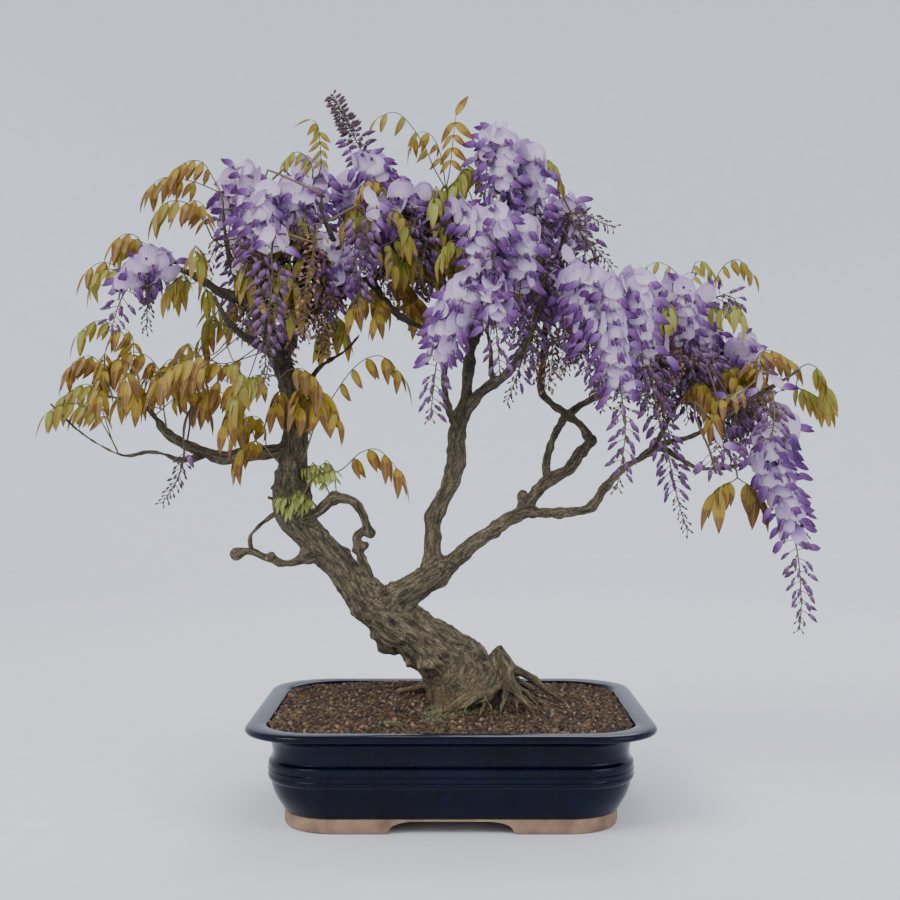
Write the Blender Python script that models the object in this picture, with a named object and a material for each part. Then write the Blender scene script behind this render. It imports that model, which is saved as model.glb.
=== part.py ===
"""Wisteria bonsai in flower, standing in a glazed rectangular pot on four corner feet.

X runs along the pot, Y away from the viewer and Z up, in metres. The finished model has the
middle of its bounding box over the origin and the pot's feet at Z = 0.
"""
import math
import random

import bmesh
import bpy
from mathutils import Vector
from mathutils.bvhtree import BVHTree

MM = 0.001
GAP = 0.3 * MM
SEED = 2917

# The routes below are as a ruler in the trunk's plane reads them from the eye of someone facing
# the tree; a point in front of or behind that plane is spread about the eye accordingly.
EYE_DISTANCE = 1425 * MM
EYE_HEIGHT = 366 * MM

# Pot: outside of the rim, wall and floor.
RIM_LENGTH = 399 * MM
RIM_DEPTH = 329 * MM
CORNER_SHARE = 0.31
CORNER_STEPS = 3
FLOOR_UNDERSIDE = 15 * MM
FLOOR_TOP = 24 * MM
FOOT_WALL = 17 * MM
FOOT_GAP_LENGTH = 118 * MM
FOOT_GAP_DEPTH = 96 * MM
FOOT_GAP_HEIGHT = 12.5 * MM
DRAIN_OFFSET = 78 * MM
DRAIN_RADIUS = 10 * MM
DRAIN_SIDES = 12

# Half-lengths of the pot's level outlines, in mm: (height, half-length).
FOOT_PROFILE = [(0, 161), (3, 163.5), (16.5, 163.5)]
BODY_PROFILE = [
    (15, 160), (19, 164), (25, 168.5), (32, 172), (40, 175), (47, 176), (48.5, 178.5),
    (64.5, 178.5), (67, 175.5), (74, 174.5), (88, 178), (92, 190), (93.5, 197),
    (97, 199.5), (100, 198), (101, 194), (100, 182),
]
INNER_PROFILE = [(98, 180), (92, 176), (84, 168.5), (74, 166.5), (29, 161), (24, 154)]

# Soil: level at the rim and heaped a little behind the trunk.
SOIL_EDGE_HEIGHT = 96.5 * MM
SOIL_EDGE_HALF_LENGTH = 178.4 * MM
MOUND_RISE = 20 * MM
MOUND_CENTRE = (-10 * MM, 50 * MM)
MOUND_SPREAD = (110 * MM, 80 * MM)
SOIL_RINGS = [0.87, 0.6, 0.3]
SOIL_ROUGHNESS = 1.4 * MM
PLANTING_CLEARANCE = 0.8 * MM
ROOT_DIVE = 9 * MM

# Drainage screens over the two holes in the pot's floor.
SCREEN_SIZE = 34 * MM
SCREEN_THICKNESS = 1.2 * MM
SCREEN_BAR = 2.5 * MM
SCREEN_HOLES = 3

# Wood.
BARK_RELIEF = 0.05
BARK_RELIEF_FROM = 12 * MM
ROOT_SIDES = 4
ROOT_TIP_SHARE = 0.8

# Green stems, leaves and flowers.
STEM_SIDES = 3
PEDUNCLE_RADIUS = 1.1 * MM
SHOOT_RADIUS = 1.2 * MM
RIB_RADIUS = 0.6 * MM
TIP_RADIUS = 0.45 * MM
SEAT_RISE = 3 * MM
SEAT_REACH = 7 * MM
SEAT_TRIES = 160
SEAT_FACING = 0.25
RACHIS_STEPS = 3
LEAF_RIB_STEPS = 5
LEAFLET_WIDTH_SHARE = 0.32
LEAFLET_FOOT = 3 * MM
PAIRS_FROM = 0.42
PAIRS_TO = 0.9
LEAF_ROLL = 0.5
LEAFLET_FALL = 0.7
LEAFLET_FORWARD = 0.5
LEAFLET_SPLAY = 0.8
LEAFLET_SPREAD_AT = 0.4
LEAFLET_SHORTENING = 0.05
LEAFLET_LEAST_OUT = 0.15
LEAFLET_PUSH_OUT = 0.4
TIP_LEAFLET_FALL = 0.4
LEAFLET_TRIES = 6
LEAF_TRIES = 16
SPRAY_TRIES = 5
LEAFLET_SHIFT = 0.12
GOLDEN_ANGLE = math.radians(137.5)
TURN_STEP = math.radians(40)
TURNS = 8
NUDGES = 24
NUDGE_STEP = 1.2 * MM

# A raceme starts to flower a tenth of the way along and its last flowers are a quarter smaller.
FLOWERS_FROM = 0.1
FLOWER_SHRINKING = 0.25
FLOWER_LIFT = 0.15
POD_LEAN = 0.45
BUD_LEAN = 0.7

# Flowering styles: spacing along the rachis in mm of open flowers, closed flowers and buds,
# and the share of the raceme up to which each kind stands.
STYLES = {
    "full": (24, 18, 15, 0.66, 0.9),
    "late": (24, 17, 14, 0.0, 0.8),
    "bud": (24, 16, 15, 0.0, 0.0),
    "faded": (24, 16, 15, 0.0, 0.0),
    "upright": (19, 14, 11, 0.4, 0.55),
}
FLOWER_SIZE = 22 * MM
POD_LENGTH = 19 * MM
POD_RADIUS = 3.6 * MM
BUD_LENGTH = 10 * MM
BUD_RADIUS = 2.1 * MM

# Wood, thick to thin: name, sides, then (across, up, depth, thickness) in mm along the middle.
WOOD = [
    ("trunk", 9, [
        (22, 82, 2, 88), (20, 101, 1, 88), (15, 117, -1, 84), (5, 138, -3, 73),
        (-9, 152, -5, 64), (-26, 166, -6, 55), (-71, 198, -6, 49), (-100, 225, -10, 38),
        (-132, 260, -14, 32), (-159, 291, -14, 38), (-167, 306, -13, 40), (-167, 341, -10, 32),
        (-163, 389, -4, 27), (-169, 434, 4, 22), (-183, 475, 8, 21), (-196, 500, 8, 18),
        (-213, 521, 4, 13)]),
    ("low_arm", 7, [
        (-71, 200, -6, 40), (-49, 216, -8, 30), (-14, 236, -9, 28), (1, 247, -11, 18)]),
    ("middle_limb", 6, [
        (-20, 232, -8, 27), (-19, 284, -6, 16), (-18, 296, -4, 20), (-3, 326, 0, 18),
        (6, 356, 4, 21), (6, 385, 8, 18), (16, 423, 14, 13), (22, 483, 28, 11.5),
        (28, 521, 30, 10.5), (42, 560, 26, 9.5), (60, 617, 6, 7.5), (65, 644, -6, 5),
        (64, 669, -16, 4)]),
    ("middle_fork", 5, [
        (11, 397, 10, 15), (34, 428, 4, 11.5), (65, 454, -10, 9.5), (76, 473, -14, 9.5),
        (98, 527, -12, 8.5), (126, 613, 10, 4)]),
    ("fork_spur", 4, [
        (45, 435, 0, 7.5), (42, 468, -6, 5), (26, 535, -58, 4), (30, 590, -70, 3)]),
    ("right_limb", 6, [
        (-16, 233, -8, 25), (21, 267, -14, 16), (64, 295, -20, 16), (78, 301, -22, 17),
        (94, 300, -28, 11.5), (141, 304, -40, 10.5), (152, 312, -43, 10.5),
        (178, 345, -50, 8.5), (220, 367, -55, 7.5), (259, 347, -55, 5), (327, 352, -55, 4)]),
    ("right_stub", 5, [
        (76, 300, -22, 13), (74, 320, -22, 9.5)]),
    ("knee_limb", 6, [
        (77, 301, -22, 14), (94, 328, -12, 14), (123, 346, 0, 14), (146, 376, 12, 13)]),
    ("zig_limb", 5, [
        (147, 372, 12, 10.5), (137, 390, 16, 8.5), (103, 416, 24, 8.5), (94, 429, 24, 8.5),
        (97, 475, 30, 6.5), (110, 535, 40, 5)]),
    ("cross_limb", 5, [
        (103, 334, -8, 11.5), (101, 360, -2, 8.5), (109, 383, 10, 8.5), (119, 400, 19, 9.5),
        (132, 410, 27, 7.5), (198, 444, 40, 6.5), (220, 468, 52, 5), (239, 496, 62, 5),
        (254, 523, 64, 4)]),
    ("front_spray_limb", 4, [
        (160, 426, 34, 7.5), (168, 441, 10, 6.5), (181, 485, -52, 6.5), (183, 508, -76, 5),
        (177, 531, -90, 4)]),
    ("right_rise", 4, [
        (198, 358, -53, 7.5), (213, 370, -58, 6.5), (250, 380, -66, 6.5), (283, 397, -66, 5),
        (364, 450, -56, 4)]),
    ("right_back_limb", 4, [
        (213, 370, -58, 6.5), (250, 429, 34, 5), (283, 468, 84, 4)]),
    ("low_left_limb", 6, [
        (-162, 367, -8, 21), (-198, 363, -4, 14), (-236, 358, 8, 15), (-254, 362, 12, 13),
        (-299, 386, 23, 9.5), (-321, 413, 26, 5), (-369, 423, 26, 4)]),
    ("low_left_twig", 4, [
        (-258, 362, 14, 9.5), (-270, 357, 8, 7.5), (-285, 356, 2, 6.5), (-317, 364, -8, 5),
        (-339, 360, -12, 4), (-361, 368, -14, 3), (-390, 387, -16, 3), (-419, 415, -18, 2)]),
    ("dead_loop", 5, [
        (-156, 299, -16, 14), (-139, 302, -28, 11.5), (-122, 315, -34, 11.5),
        (-102, 312, -36, 10.5), (-93, 299, -34, 10.5), (-87, 279, -30, 9.5)]),
    ("dead_loop_return", 5, [
        (-88, 284, -30, 8.5), (-97, 277, -28, 9.5), (-99, 269, -28, 9.5), (-82, 218, -12, 14)]),
    ("dead_arm", 5, [
        (-135, 259, -14, 15), (-170, 248, -22, 9.5), (-207, 260, -28, 8.5),
        (-224, 259, -30, 11.5)]),
    ("dead_arm_twig", 4, [
        (-208, 259, -28, 6.5), (-210, 274, -29, 5), (-204, 283, -28, 5), (-170, 307, -16, 6.5)]),
    ("dead_spike", 4, [
        (-164, 306, -14, 6.5), (-192, 317, -27, 4)]),
    ("left_limb", 5, [
        (-200, 504, 8, 15), (-213, 521, 2, 14), (-296, 558, -20, 4)]),
    ("left_rise", 4, [
        (-214, 522, 2, 8.5), (-233, 575, -14, 6.5), (-238, 617, -20, 3)]),
    ("top_left_limb", 4, [
        (-210, 516, 6, 9.5), (-195, 569, 44, 7.5), (-189, 598, 54, 6.5), (-183, 625, 58, 5),
        (-168, 644, 54, 4)]),
    ("left_front_limb", 4, [
        (-176, 456, 4, 14), (-227, 493, -76, 8.5), (-248, 527, -112, 5)]),
    ("left_back_limb", 4, [
        (-177, 458, 8, 14), (-158, 506, 68, 9.5), (-152, 533, 98, 8.5), (-147, 562, 122, 6.5),
        (-141, 590, 136, 5)]),
    ("crown_bridge", 5, [
        (-183, 473, 8, 19), (-168, 491, 4, 14), (-149, 506, -2, 13), (-103, 537, -10, 11.5),
        (-82, 546, -8, 9.5), (-41, 588, 10, 7.5), (-18, 605, 16, 7.5), (15, 617, 14, 6.5),
        (41, 624, 4, 5)]),
    ("bridge_drop", 4, [
        (-85, 544, -8, 9.5), (-49, 503, -24, 7.5), (-24, 491, -32, 5)]),
    ("bridge_front", 4, [
        (-103, 536, -10, 9.5), (-106, 554, -32, 8.5), (-126, 592, -78, 6.5),
        (-135, 615, -92, 5), (-135, 634, -96, 4)]),
    ("bridge_back", 4, [
        (-66, 558, 0, 7.5), (-83, 631, 104, 4)]),
    ("bridge_rise", 4, [
        (-55, 571, 4, 7.5), (-68, 623, -10, 4)]),
    ("right_shoulder", 4, [
        (98, 527, -12, 7.5), (114, 535, -30, 6.5), (143, 562, -62, 5), (156, 569, -72, 4)]),
    ("middle_back_limb", 4, [
        (21, 468, 24, 9.5), (53, 544, 110, 7.5), (66, 573, 134, 6.5), (74, 600, 148, 4)]),
    ("middle_front_limb", 4, [
        (6, 387, 6, 9.5), (-3, 410, -20, 8.5), (-7, 435, -48, 7.5), (1, 493, -96, 5),
        (9, 523, -110, 4)]),
    ("bud_twig", 4, [
        (-165, 416, 0, 9.5), (-135, 454, 14, 5), (-110, 470, 18, 4), (-95, 487, 20, 3)]),
]

# Swellings on the wood: across, up, depth, thickness, in mm.
BURLS = [
    (-61, 174, -4, 44), (-15, 240, -9, 36), (-18, 296, -3, 21), (6, 352, 4, 23),
    (-164, 317, -13, 40),
]

# Surface roots, from the root crown out to where each goes under.
ROOTS = [
    [(45, 155, -18, 21), (59, 141, -26, 15), (61, 127, -36, 8.5), (72, 108, -50, 6.5),
     (87, 88, -62, 4)],
    [(47, 138, -26, 16), (51, 121, -34, 9.5), (28, 106, -44, 8.5), (1, 91, -54, 5)],
    [(37, 144, -26, 16), (42, 134, -32, 9.5), (24, 108, -40, 7.5), (22, 92, -46, 4)],
    [(54, 144, -14, 15), (69, 136, -12, 9.5), (85, 128, -8, 8.5), (101, 114, -2, 6.5),
     (118, 102, 4, 4)],
    [(26, 126, -26, 15), (18, 113, -36, 8.5), (1, 98, -50, 6.5), (-14, 88, -62, 4)],
    [(-11, 124, 2, 15), (-28, 120, 6, 9.5), (-45, 116, 10, 6.5), (-60, 112, 14, 4)],
    [(39, 142, 10, 19), (56, 132, 24, 11.5), (72, 124, 38, 8.5), (89, 113, 52, 5)],
    [(20, 130, 18, 19), (28, 124, 36, 11.5), (37, 119, 54, 8.5), (43, 111, 72, 4)],
    [(-5, 130, 16, 17), (-20, 124, 32, 10.5), (-34, 121, 48, 7.5), (-49, 115, 62, 4)],
    [(48, 151, -24, 14), (45, 138, -32, 7.5), (42, 124, -36, 6.5), (37, 105, -42, 4)],
]

# Flower sprays: name, then for each raceme its style and its (across, up, depth) route in mm.
RACEMES = [
    ("top_left", [
        ("full", [(-223, 650, 40), (-229, 622, 50), (-232, 590, 52), (-234, 558, 50)])]),
    ("upper_left_pair", [
        ("full", [(-198, 659, -70), (-195, 623, -76), (-198, 579, -78), (-201, 531, -76)]),
        ("full", [(-168, 662, -50), (-165, 627, -58), (-167, 588, -60), (-170, 544, -58)])]),
    ("upper_left_back", [
        ("full", [(-145, 658, 70), (-141, 621, 74), (-143, 585, 76), (-147, 552, 76)])]),
    ("left_inner_pair", [
        ("late", [(-214, 590, 70), (-220, 562, 76), (-226, 535, 78), (-229, 506, 78)]),
        ("faded", [(-239, 590, 96), (-248, 573, 104), (-254, 556, 106), (-258, 533, 106)])]),
    ("left_front_pair", [
        ("faded", [(-139, 600, -96), (-145, 569, -104), (-152, 533, -104), (-154, 487, -100)]),
        ("late", [(-183, 590, -100), (-187, 544, -104), (-191, 496, -104), (-196, 435, -100)])]),
    ("bridge_left", [
        ("full", [(-114, 604, -40), (-116, 571, -48), (-120, 539, -50), (-123, 504, -48)])]),
    ("bridge_middle", [
        ("late", [(-93, 621, -84), (-93, 585, -90), (-95, 552, -90), (-98, 516, -88)])]),
    ("bridge_right", [
        ("full", [(-57, 600, 92), (-52, 567, 100), (-44, 531, 100), (-40, 491, 96)])]),
    ("bridge_back_fall", [
        ("full", [(-26, 615, 60), (-28, 581, 66), (-32, 550, 68), (-36, 519, 66)])]),
    ("inner_back", [
        ("full", [(-110, 644, 110), (-106, 615, 116), (-103, 585, 118), (-103, 556, 118)])]),
    ("upright", [
        ("upright", [(-69, 631, -10), (-80, 657, -12), (-95, 682, -12), (-110, 711, -10),
             (-123, 735, -8)])]),
    ("far_left", [
        ("full", [(-304, 558, -30), (-326, 548, -36), (-344, 525, -38), (-356, 489, -36)]),
        ("bud", [(-315, 548, -33), (-317, 523, -40), (-318, 491, -42)])]),
    ("low_left_fall", [
        ("bud", [(-269, 416, -10), (-279, 391, -20), (-279, 360, -24), (-286, 335, -24),
             (-302, 310, -22)])]),
    ("crown_top_pair", [
        ("full", [(55, 690, -50), (54, 657, -58), (51, 619, -60), (48, 575, -58)]),
        ("full", [(80, 673, -20), (87, 638, -26), (88, 600, -28), (86, 556, -26)])]),
    ("crown_right_edge", [
        ("full", [(110, 644, 56), (117, 615, 64), (124, 579, 66), (126, 539, 64)])]),
    ("crown_front_pair", [
        ("full", [(37, 604, -104), (32, 571, -112), (27, 535, -112), (22, 491, -108)]),
        ("full", [(72, 598, -90), (74, 562, -96), (71, 525, -96), (66, 479, -92)])]),
    ("crown_back", [
        ("full", [(91, 621, 120), (95, 585, 124), (96, 550, 126), (94, 510, 124)])]),
    ("crown_inner", [
        ("late", [(137, 594, 104), (139, 565, 110), (135, 533, 110), (129, 500, 106)])]),
    ("middle_low_pair", [
        ("full", [(7, 529, -120), (-3, 500, -128), (-14, 464, -128), (-22, 397, -120)]),
        ("full", [(41, 542, -100), (45, 508, -136), (49, 477, -138), (51, 443, -134)])]),
    ("middle_low_right", [
        ("late", [(101, 558, -60), (95, 521, -70), (80, 475, -72), (59, 416, -66)])]),
    ("middle_inner", [
        ("faded", [(120, 542, -44), (122, 508, -50), (118, 475, -50), (112, 441, -48)])]),
    ("side_buds", [
        ("bud", [(120, 613, -10), (139, 612, -22), (156, 604, -26), (172, 598, -28)]),
        ("bud", [(124, 606, -12), (143, 585, -26), (156, 571, -28), (168, 556, -28)])]),
    ("right_shoulder_front_pair", [
        ("full", [(139, 546, -90), (141, 510, -98), (143, 473, -98), (147, 422, -94)]),
        ("full", [(164, 548, -110), (168, 500, -120), (173, 452, -122), (182, 387, -118),
             (173, 325, -110)])]),
    ("right_shoulder_middle_pair", [
        ("full", [(198, 539, -100), (198, 502, -108), (200, 464, -108), (203, 416, -104)]),
        ("late", [(206, 481, -60), (213, 418, -72), (226, 364, -76), (237, 314, -76),
             (247, 281, -72)])]),
    ("right_shoulder_right", [
        ("full", [(227, 531, 20), (232, 496, 14), (239, 456, 12), (248, 397, 14)])]),
    ("right_twig_pair", [
        ("full", [(258, 500, 76), (262, 470, 82), (262, 439, 84), (258, 404, 82)]),
        ("late", [(273, 523, 60), (283, 527, 48), (295, 525, 40), (303, 510, 38)])]),
    ("right_arm_front_pair", [
        ("late", [(264, 464, -80), (275, 431, -90), (284, 397, -92), (293, 353, -88)]),
        ("late", [(250, 420, -110), (258, 393, -116), (269, 368, -116), (277, 341, -112)])]),
    ("right_arm_top", [
        ("full", [(300, 470, 70), (306, 443, 74), (310, 414, 74), (304, 376, 70)])]),
    ("right_arm_end", [
        ("late", [(335, 427, -66), (338, 406, -76), (335, 383, -78), (325, 353, -76)])]),
    ("far_right_fall", [
        ("full", [(339, 393, -62), (330, 358, -66), (345, 320, -68), (355, 289, -68),
             (363, 251, -68), (366, 205, -66), (364, 178, -64)])]),
]

# Leafy shoots: name, tone, the green stem's route, then for each leaf its leaflet count, leaflet
# length in mm and the route of its rib beyond the stem.
SHOOTS = [
    ("left_arch", "bronze", [(-238, 623, -20), (-240, 634, -22)], [
        (7, 28, [(-249, 651, -26), (-259, 666, -28), (-273, 668, -30), (-289, 659, -32)]),
        (5, 27, [(-262, 644, -12), (-285, 650, -6), (-302, 650, -2), (-315, 640, 0)])]),
    ("left_upper", "olive", [(-239, 579, -24), (-250, 588, -40)], [
        (7, 28, [(-262, 613, -50), (-279, 625, -54), (-296, 625, -56), (-308, 613, -56)]),
        (7, 26, [(-256, 604, -64), (-258, 621, -78), (-269, 627, -84), (-281, 621, -88)])]),
    ("left_middle", "olive", [(-292, 557, -20), (-304, 562, -14)], [
        (7, 22, [(-314, 577, -4), (-327, 585, 4), (-340, 585, 8), (-350, 575, 10)]),
        (5, 28, [(-319, 573, -24), (-327, 588, -30), (-338, 592, -34), (-350, 586, -36)])]),
    ("left_edge", "olive", [(-296, 552, -22), (-315, 535, -6)], [
        (7, 22, [(-340, 549, 6), (-356, 555, 12), (-369, 551, 14), (-376, 537, 14)]),
        (5, 26, [(-346, 556, 24), (-361, 562, 28), (-371, 560, 30), (-381, 552, 30)])]),
    ("left_low_edge", "olive", [(-319, 414, 26), (-327, 441, 30)], [
        (7, 26, [(-340, 483, 34), (-356, 498, 36), (-373, 500, 36), (-390, 487, 36)]),
        (5, 25, [(-331, 464, 14), (-333, 485, 6), (-342, 493, 2), (-352, 487, 0)])]),
    ("low_left_fan", "bronze", [(-363, 422, 26), (-365, 435, 20)], [
        (7, 28, [(-367, 454, 10), (-375, 464, 4), (-388, 462, 0), (-400, 450, -2)]),
        (5, 30, [(-371, 431, 34), (-381, 435, 38), (-392, 431, 40), (-407, 420, 40)])]),
    ("low_left_shoot", "olive", [(-348, 363, -13), (-354, 376, -16)], [
        (7, 26, [(-371, 404, -20), (-388, 414, -22), (-407, 414, -24), (-423, 404, -24)]),
        (7, 26, [(-361, 397, -8), (-367, 414, -2), (-377, 418, 2), (-390, 410, 6)])]),
    ("low_left_rise", "bronze", [(-296, 383, 22), (-300, 408, 10)], [
        (7, 32, [(-304, 445, -4), (-317, 464, -12), (-335, 468, -18), (-354, 458, -22)]),
        (7, 32, [(-298, 435, -24), (-292, 454, -34), (-279, 460, -40), (-264, 450, -46)]),
        (5, 30, [(-315, 414, 20), (-323, 429, 26), (-335, 431, 30), (-348, 420, 34)])]),
    ("left_front_fan", "bronze", [(-229, 496, -80), (-235, 479, -92)], [
        (7, 36, [(-248, 466, -100), (-266, 464, -104), (-285, 456, -106), (-304, 441, -108)]),
        (5, 31, [(-229, 462, -104), (-220, 448, -112), (-220, 431, -116), (-227, 416, -118)])]),
    ("trunk_front_fan", "olive", [(-175, 435, -12), (-179, 441, -30)], [
        (7, 40, [(-191, 445, -44), (-206, 443, -54), (-218, 435, -60), (-227, 420, -62)]),
        (7, 40, [(-168, 450, -44), (-154, 450, -54), (-141, 439, -60), (-135, 422, -62)])]),
    ("trunk_low_fan", "bronze", [(-177, 351, -16), (-185, 358, -24)], [
        (7, 29, [(-195, 370, -30), (-206, 375, -34), (-216, 370, -38), (-223, 358, -40)])]),
    ("trunk_right_arch", "bronze", [(-156, 353, -16), (-144, 387, -26)], [
        (7, 28, [(-125, 419, -32), (-104, 449, -36), (-85, 463, -38), (-68, 462, -40),
             (-49, 441, -42)])]),
    ("trunk_right_low", "bronze", [(-154, 335, -18), (-137, 340, -28)], [
        (5, 30, [(-115, 345, -34), (-95, 363, -38), (-78, 367, -40), (-66, 358, -42),
             (-52, 341, -44)])]),
    ("trunk_fresh", "fresh", [(-156, 322, -26), (-149, 330, -40)], [
        (5, 13, [(-143, 337, -44), (-134, 342, -46), (-123, 345, -48)]),
        (3, 13, [(-154, 320, -46), (-164, 316, -50), (-175, 316, -52)])]),
    ("top_left_leaves", "olive", [(-158, 631, 50), (-145, 642, 44)], [
        (7, 20, [(-136, 661, 40), (-137, 688, 38), (-139, 705, 38), (-145, 711, 38)]),
        (7, 18, [(-145, 661, 30), (-154, 675, 26), (-164, 677, 24), (-173, 669, 22)])]),
    ("top_leaves", "olive", [(-3, 613, 14), (-5, 638, 10)], [
        (5, 21, [(-18, 661, 6), (-28, 684, 2), (-45, 709, 0), (-60, 719, -2), (-76, 713, -4)]),
        (5, 21, [(-11, 675, 22), (-20, 694, 26), (-32, 698, 28), (-41, 686, 30)]),
        (5, 24, [(-1, 661, 8), (2, 688, 8), (5, 715, 8)]),
        (7, 20, [(7, 650, -6), (16, 663, -12), (24, 659, -16), (30, 648, -18)])]),
    ("bridge_front_leaves", "bronze", [(-66, 604, -14), (-68, 615, -34)], [
        (7, 22, [(-70, 638, -44), (-80, 648, -50), (-91, 644, -54), (-97, 631, -56)]),
        (7, 24, [(-62, 617, -62), (-53, 613, -72), (-47, 600, -76), (-45, 585, -78)])]),
    ("bridge_low_leaves", "olive", [(-122, 521, 24), (-116, 525, 40)], [
        (9, 27, [(-106, 533, 52), (-89, 535, 58), (-76, 529, 62), (-68, 516, 64)]),
        (5, 24, [(-124, 504, 54), (-133, 491, 60), (-135, 475, 62)])]),
    ("middle_front_leaves", "olive", [(28, 544, -72), (24, 556, -90)], [
        (7, 26, [(14, 577, -100), (3, 585, -106), (-5, 581, -110), (-11, 569, -112)])]),
    ("crown_side_leaves", "olive", [(64, 659, -4), (74, 661, 10)], [
        (7, 22, [(89, 667, 18), (101, 669, 22), (110, 661, 26), (115, 646, 28)]),
        (5, 20, [(57, 682, 24), (45, 688, 32), (32, 684, 36)])]),
    ("right_twig_leaves", "olive", [(248, 512, 64), (256, 525, 60)], [
        (7, 21, [(272, 538, 56), (285, 558, 54), (300, 565, 52), (315, 550, 52)]),
        (5, 19, [(243, 542, 64), (229, 557, 66), (214, 562, 68), (200, 554, 70)]),
        (5, 19, [(252, 548, 70), (256, 562, 74), (266, 562, 76), (273, 552, 76)])]),
    ("right_end_leaves", "olive", [(361, 448, -52), (365, 452, -46)], [
        (7, 28, [(373, 456, -40), (384, 450, -36), (391, 435, -34), (393, 420, -34)]),
        (7, 27, [(361, 433, -34), (369, 429, -28), (377, 425, -26), (390, 416, -24)])]),
    ("right_arm_leaves", "bronze", [(319, 422, -56), (319, 439, -46)], [
        (7, 26, [(321, 464, -30), (331, 470, -24), (344, 466, -20), (356, 458, -18)]),
        (5, 24, [(300, 425, -80), (287, 422, -96), (277, 412, -100), (273, 397, -102)])]),
    ("right_hanging_leaf", "bronze", [(298, 345, -60), (299, 337, -66)], [
        (7, 37, [(294, 333, -74), (285, 330, -80), (276, 322, -84)]),
        (5, 37, [(305, 333, -64), (313, 328, -60), (320, 319, -58)])]),
]


# Materials


def material(name, colour, roughness, metallic=0.0):
    made = bpy.data.materials.new(name)
    made.use_nodes = True
    shader = made.node_tree.nodes["Principled BSDF"]
    shader.inputs["Base Color"].default_value = (*colour, 1.0)
    shader.inputs["Roughness"].default_value = roughness
    shader.inputs["Metallic"].default_value = metallic
    made.diffuse_color = (*colour, 1.0)
    return made


# Small closed shapes, each a list of points and a list of faces


def seen(across, up, depth):
    """Place a point read in mm from the front at its depth behind the trunk's plane."""
    spread = 1.0 + depth * MM / EYE_DISTANCE
    height = EYE_HEIGHT + (up * MM - EYE_HEIGHT) * spread
    return Vector((across * MM * spread, depth * MM, height))


def volume(points, faces):
    total = 0.0
    for face in faces:
        first = points[face[0]]
        for second, third in zip(face[1:], face[2:]):
            total += first.dot(points[second].cross(points[third]))
    return total / 6.0


def facing_out(points, faces):
    if volume(points, faces) < 0.0:
        faces = [tuple(reversed(face)) for face in faces]
    return points, faces


def swollen(shape, margin):
    """The same shape with each point moved out along the mean of its faces' normals."""
    points, faces = shape
    normals = [Vector() for _ in points]
    for face in faces:
        a, b, c = (points[index] for index in face[:3])
        normal = (b - a).cross(c - a).normalized()
        for index in face:
            normals[index] += normal
    moved = [point + normal.normalized() * margin for point, normal in zip(points, normals)]
    return moved, faces


def across_to(direction):
    helper = Vector((0.0, 1.0, 0.0)) if abs(direction.y) < 0.8 else Vector((1.0, 0.0, 0.0))
    return direction.cross(helper).normalized()


def directions_along(points):
    steps = [(b - a).normalized() for a, b in zip(points, points[1:])]
    turns = [(a + b).normalized() for a, b in zip(steps, steps[1:])]
    return [steps[0]] + turns + [steps[-1]]


def tube(points, radii, sides, relief=0.0, rng=None):
    """A closed tube with flat ends whose rings turn with the route and don't twist."""
    rings = []
    side = None
    for point, direction, radius in zip(points, directions_along(points), radii):
        if side is None:
            side = across_to(direction)
        side = (side - direction * side.dot(direction)).normalized()
        other = direction.cross(side)
        for step in range(sides):
            angle = 2.0 * math.pi * step / sides
            reach = radius
            if relief and radius > BARK_RELIEF_FROM:
                reach *= 1.0 + rng.uniform(-relief, relief)
            rings.append(point + (side * math.cos(angle) + other * math.sin(angle)) * reach)
    faces = [tuple(range(sides)), tuple(range(len(rings) - 1, len(rings) - sides - 1, -1))]
    for ring in range(len(points) - 1):
        low = ring * sides
        for step in range(sides):
            after = (step + 1) % sides
            faces.append((low + after, low + step, low + sides + step, low + sides + after))
    return facing_out(rings, faces)


def knob(centre, radius):
    """A rough swelling with twelve corners."""
    bm = bmesh.new()
    bmesh.ops.create_icosphere(bm, subdivisions=1, radius=radius)
    points = [vert.co + centre for vert in bm.verts]
    faces = [tuple(vert.index for vert in face.verts) for face in bm.faces]
    bm.free()
    return facing_out(points, faces)


def pod(root, direction, length, radius):
    """A closed flower or bud: three-sided, fattest past its middle."""
    side = across_to(direction)
    other = direction.cross(side)
    middle = root + direction * length * 0.6
    points = [root]
    for step in range(3):
        angle = 2.0 * math.pi * step / 3.0
        points.append(middle + (side * math.cos(angle) + other * math.sin(angle)) * radius)
    points.append(root + direction * length)
    faces = [(0, 1, 2), (0, 2, 3), (0, 3, 1), (4, 2, 1), (4, 3, 2), (4, 1, 3)]
    return facing_out(points, faces)


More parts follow.
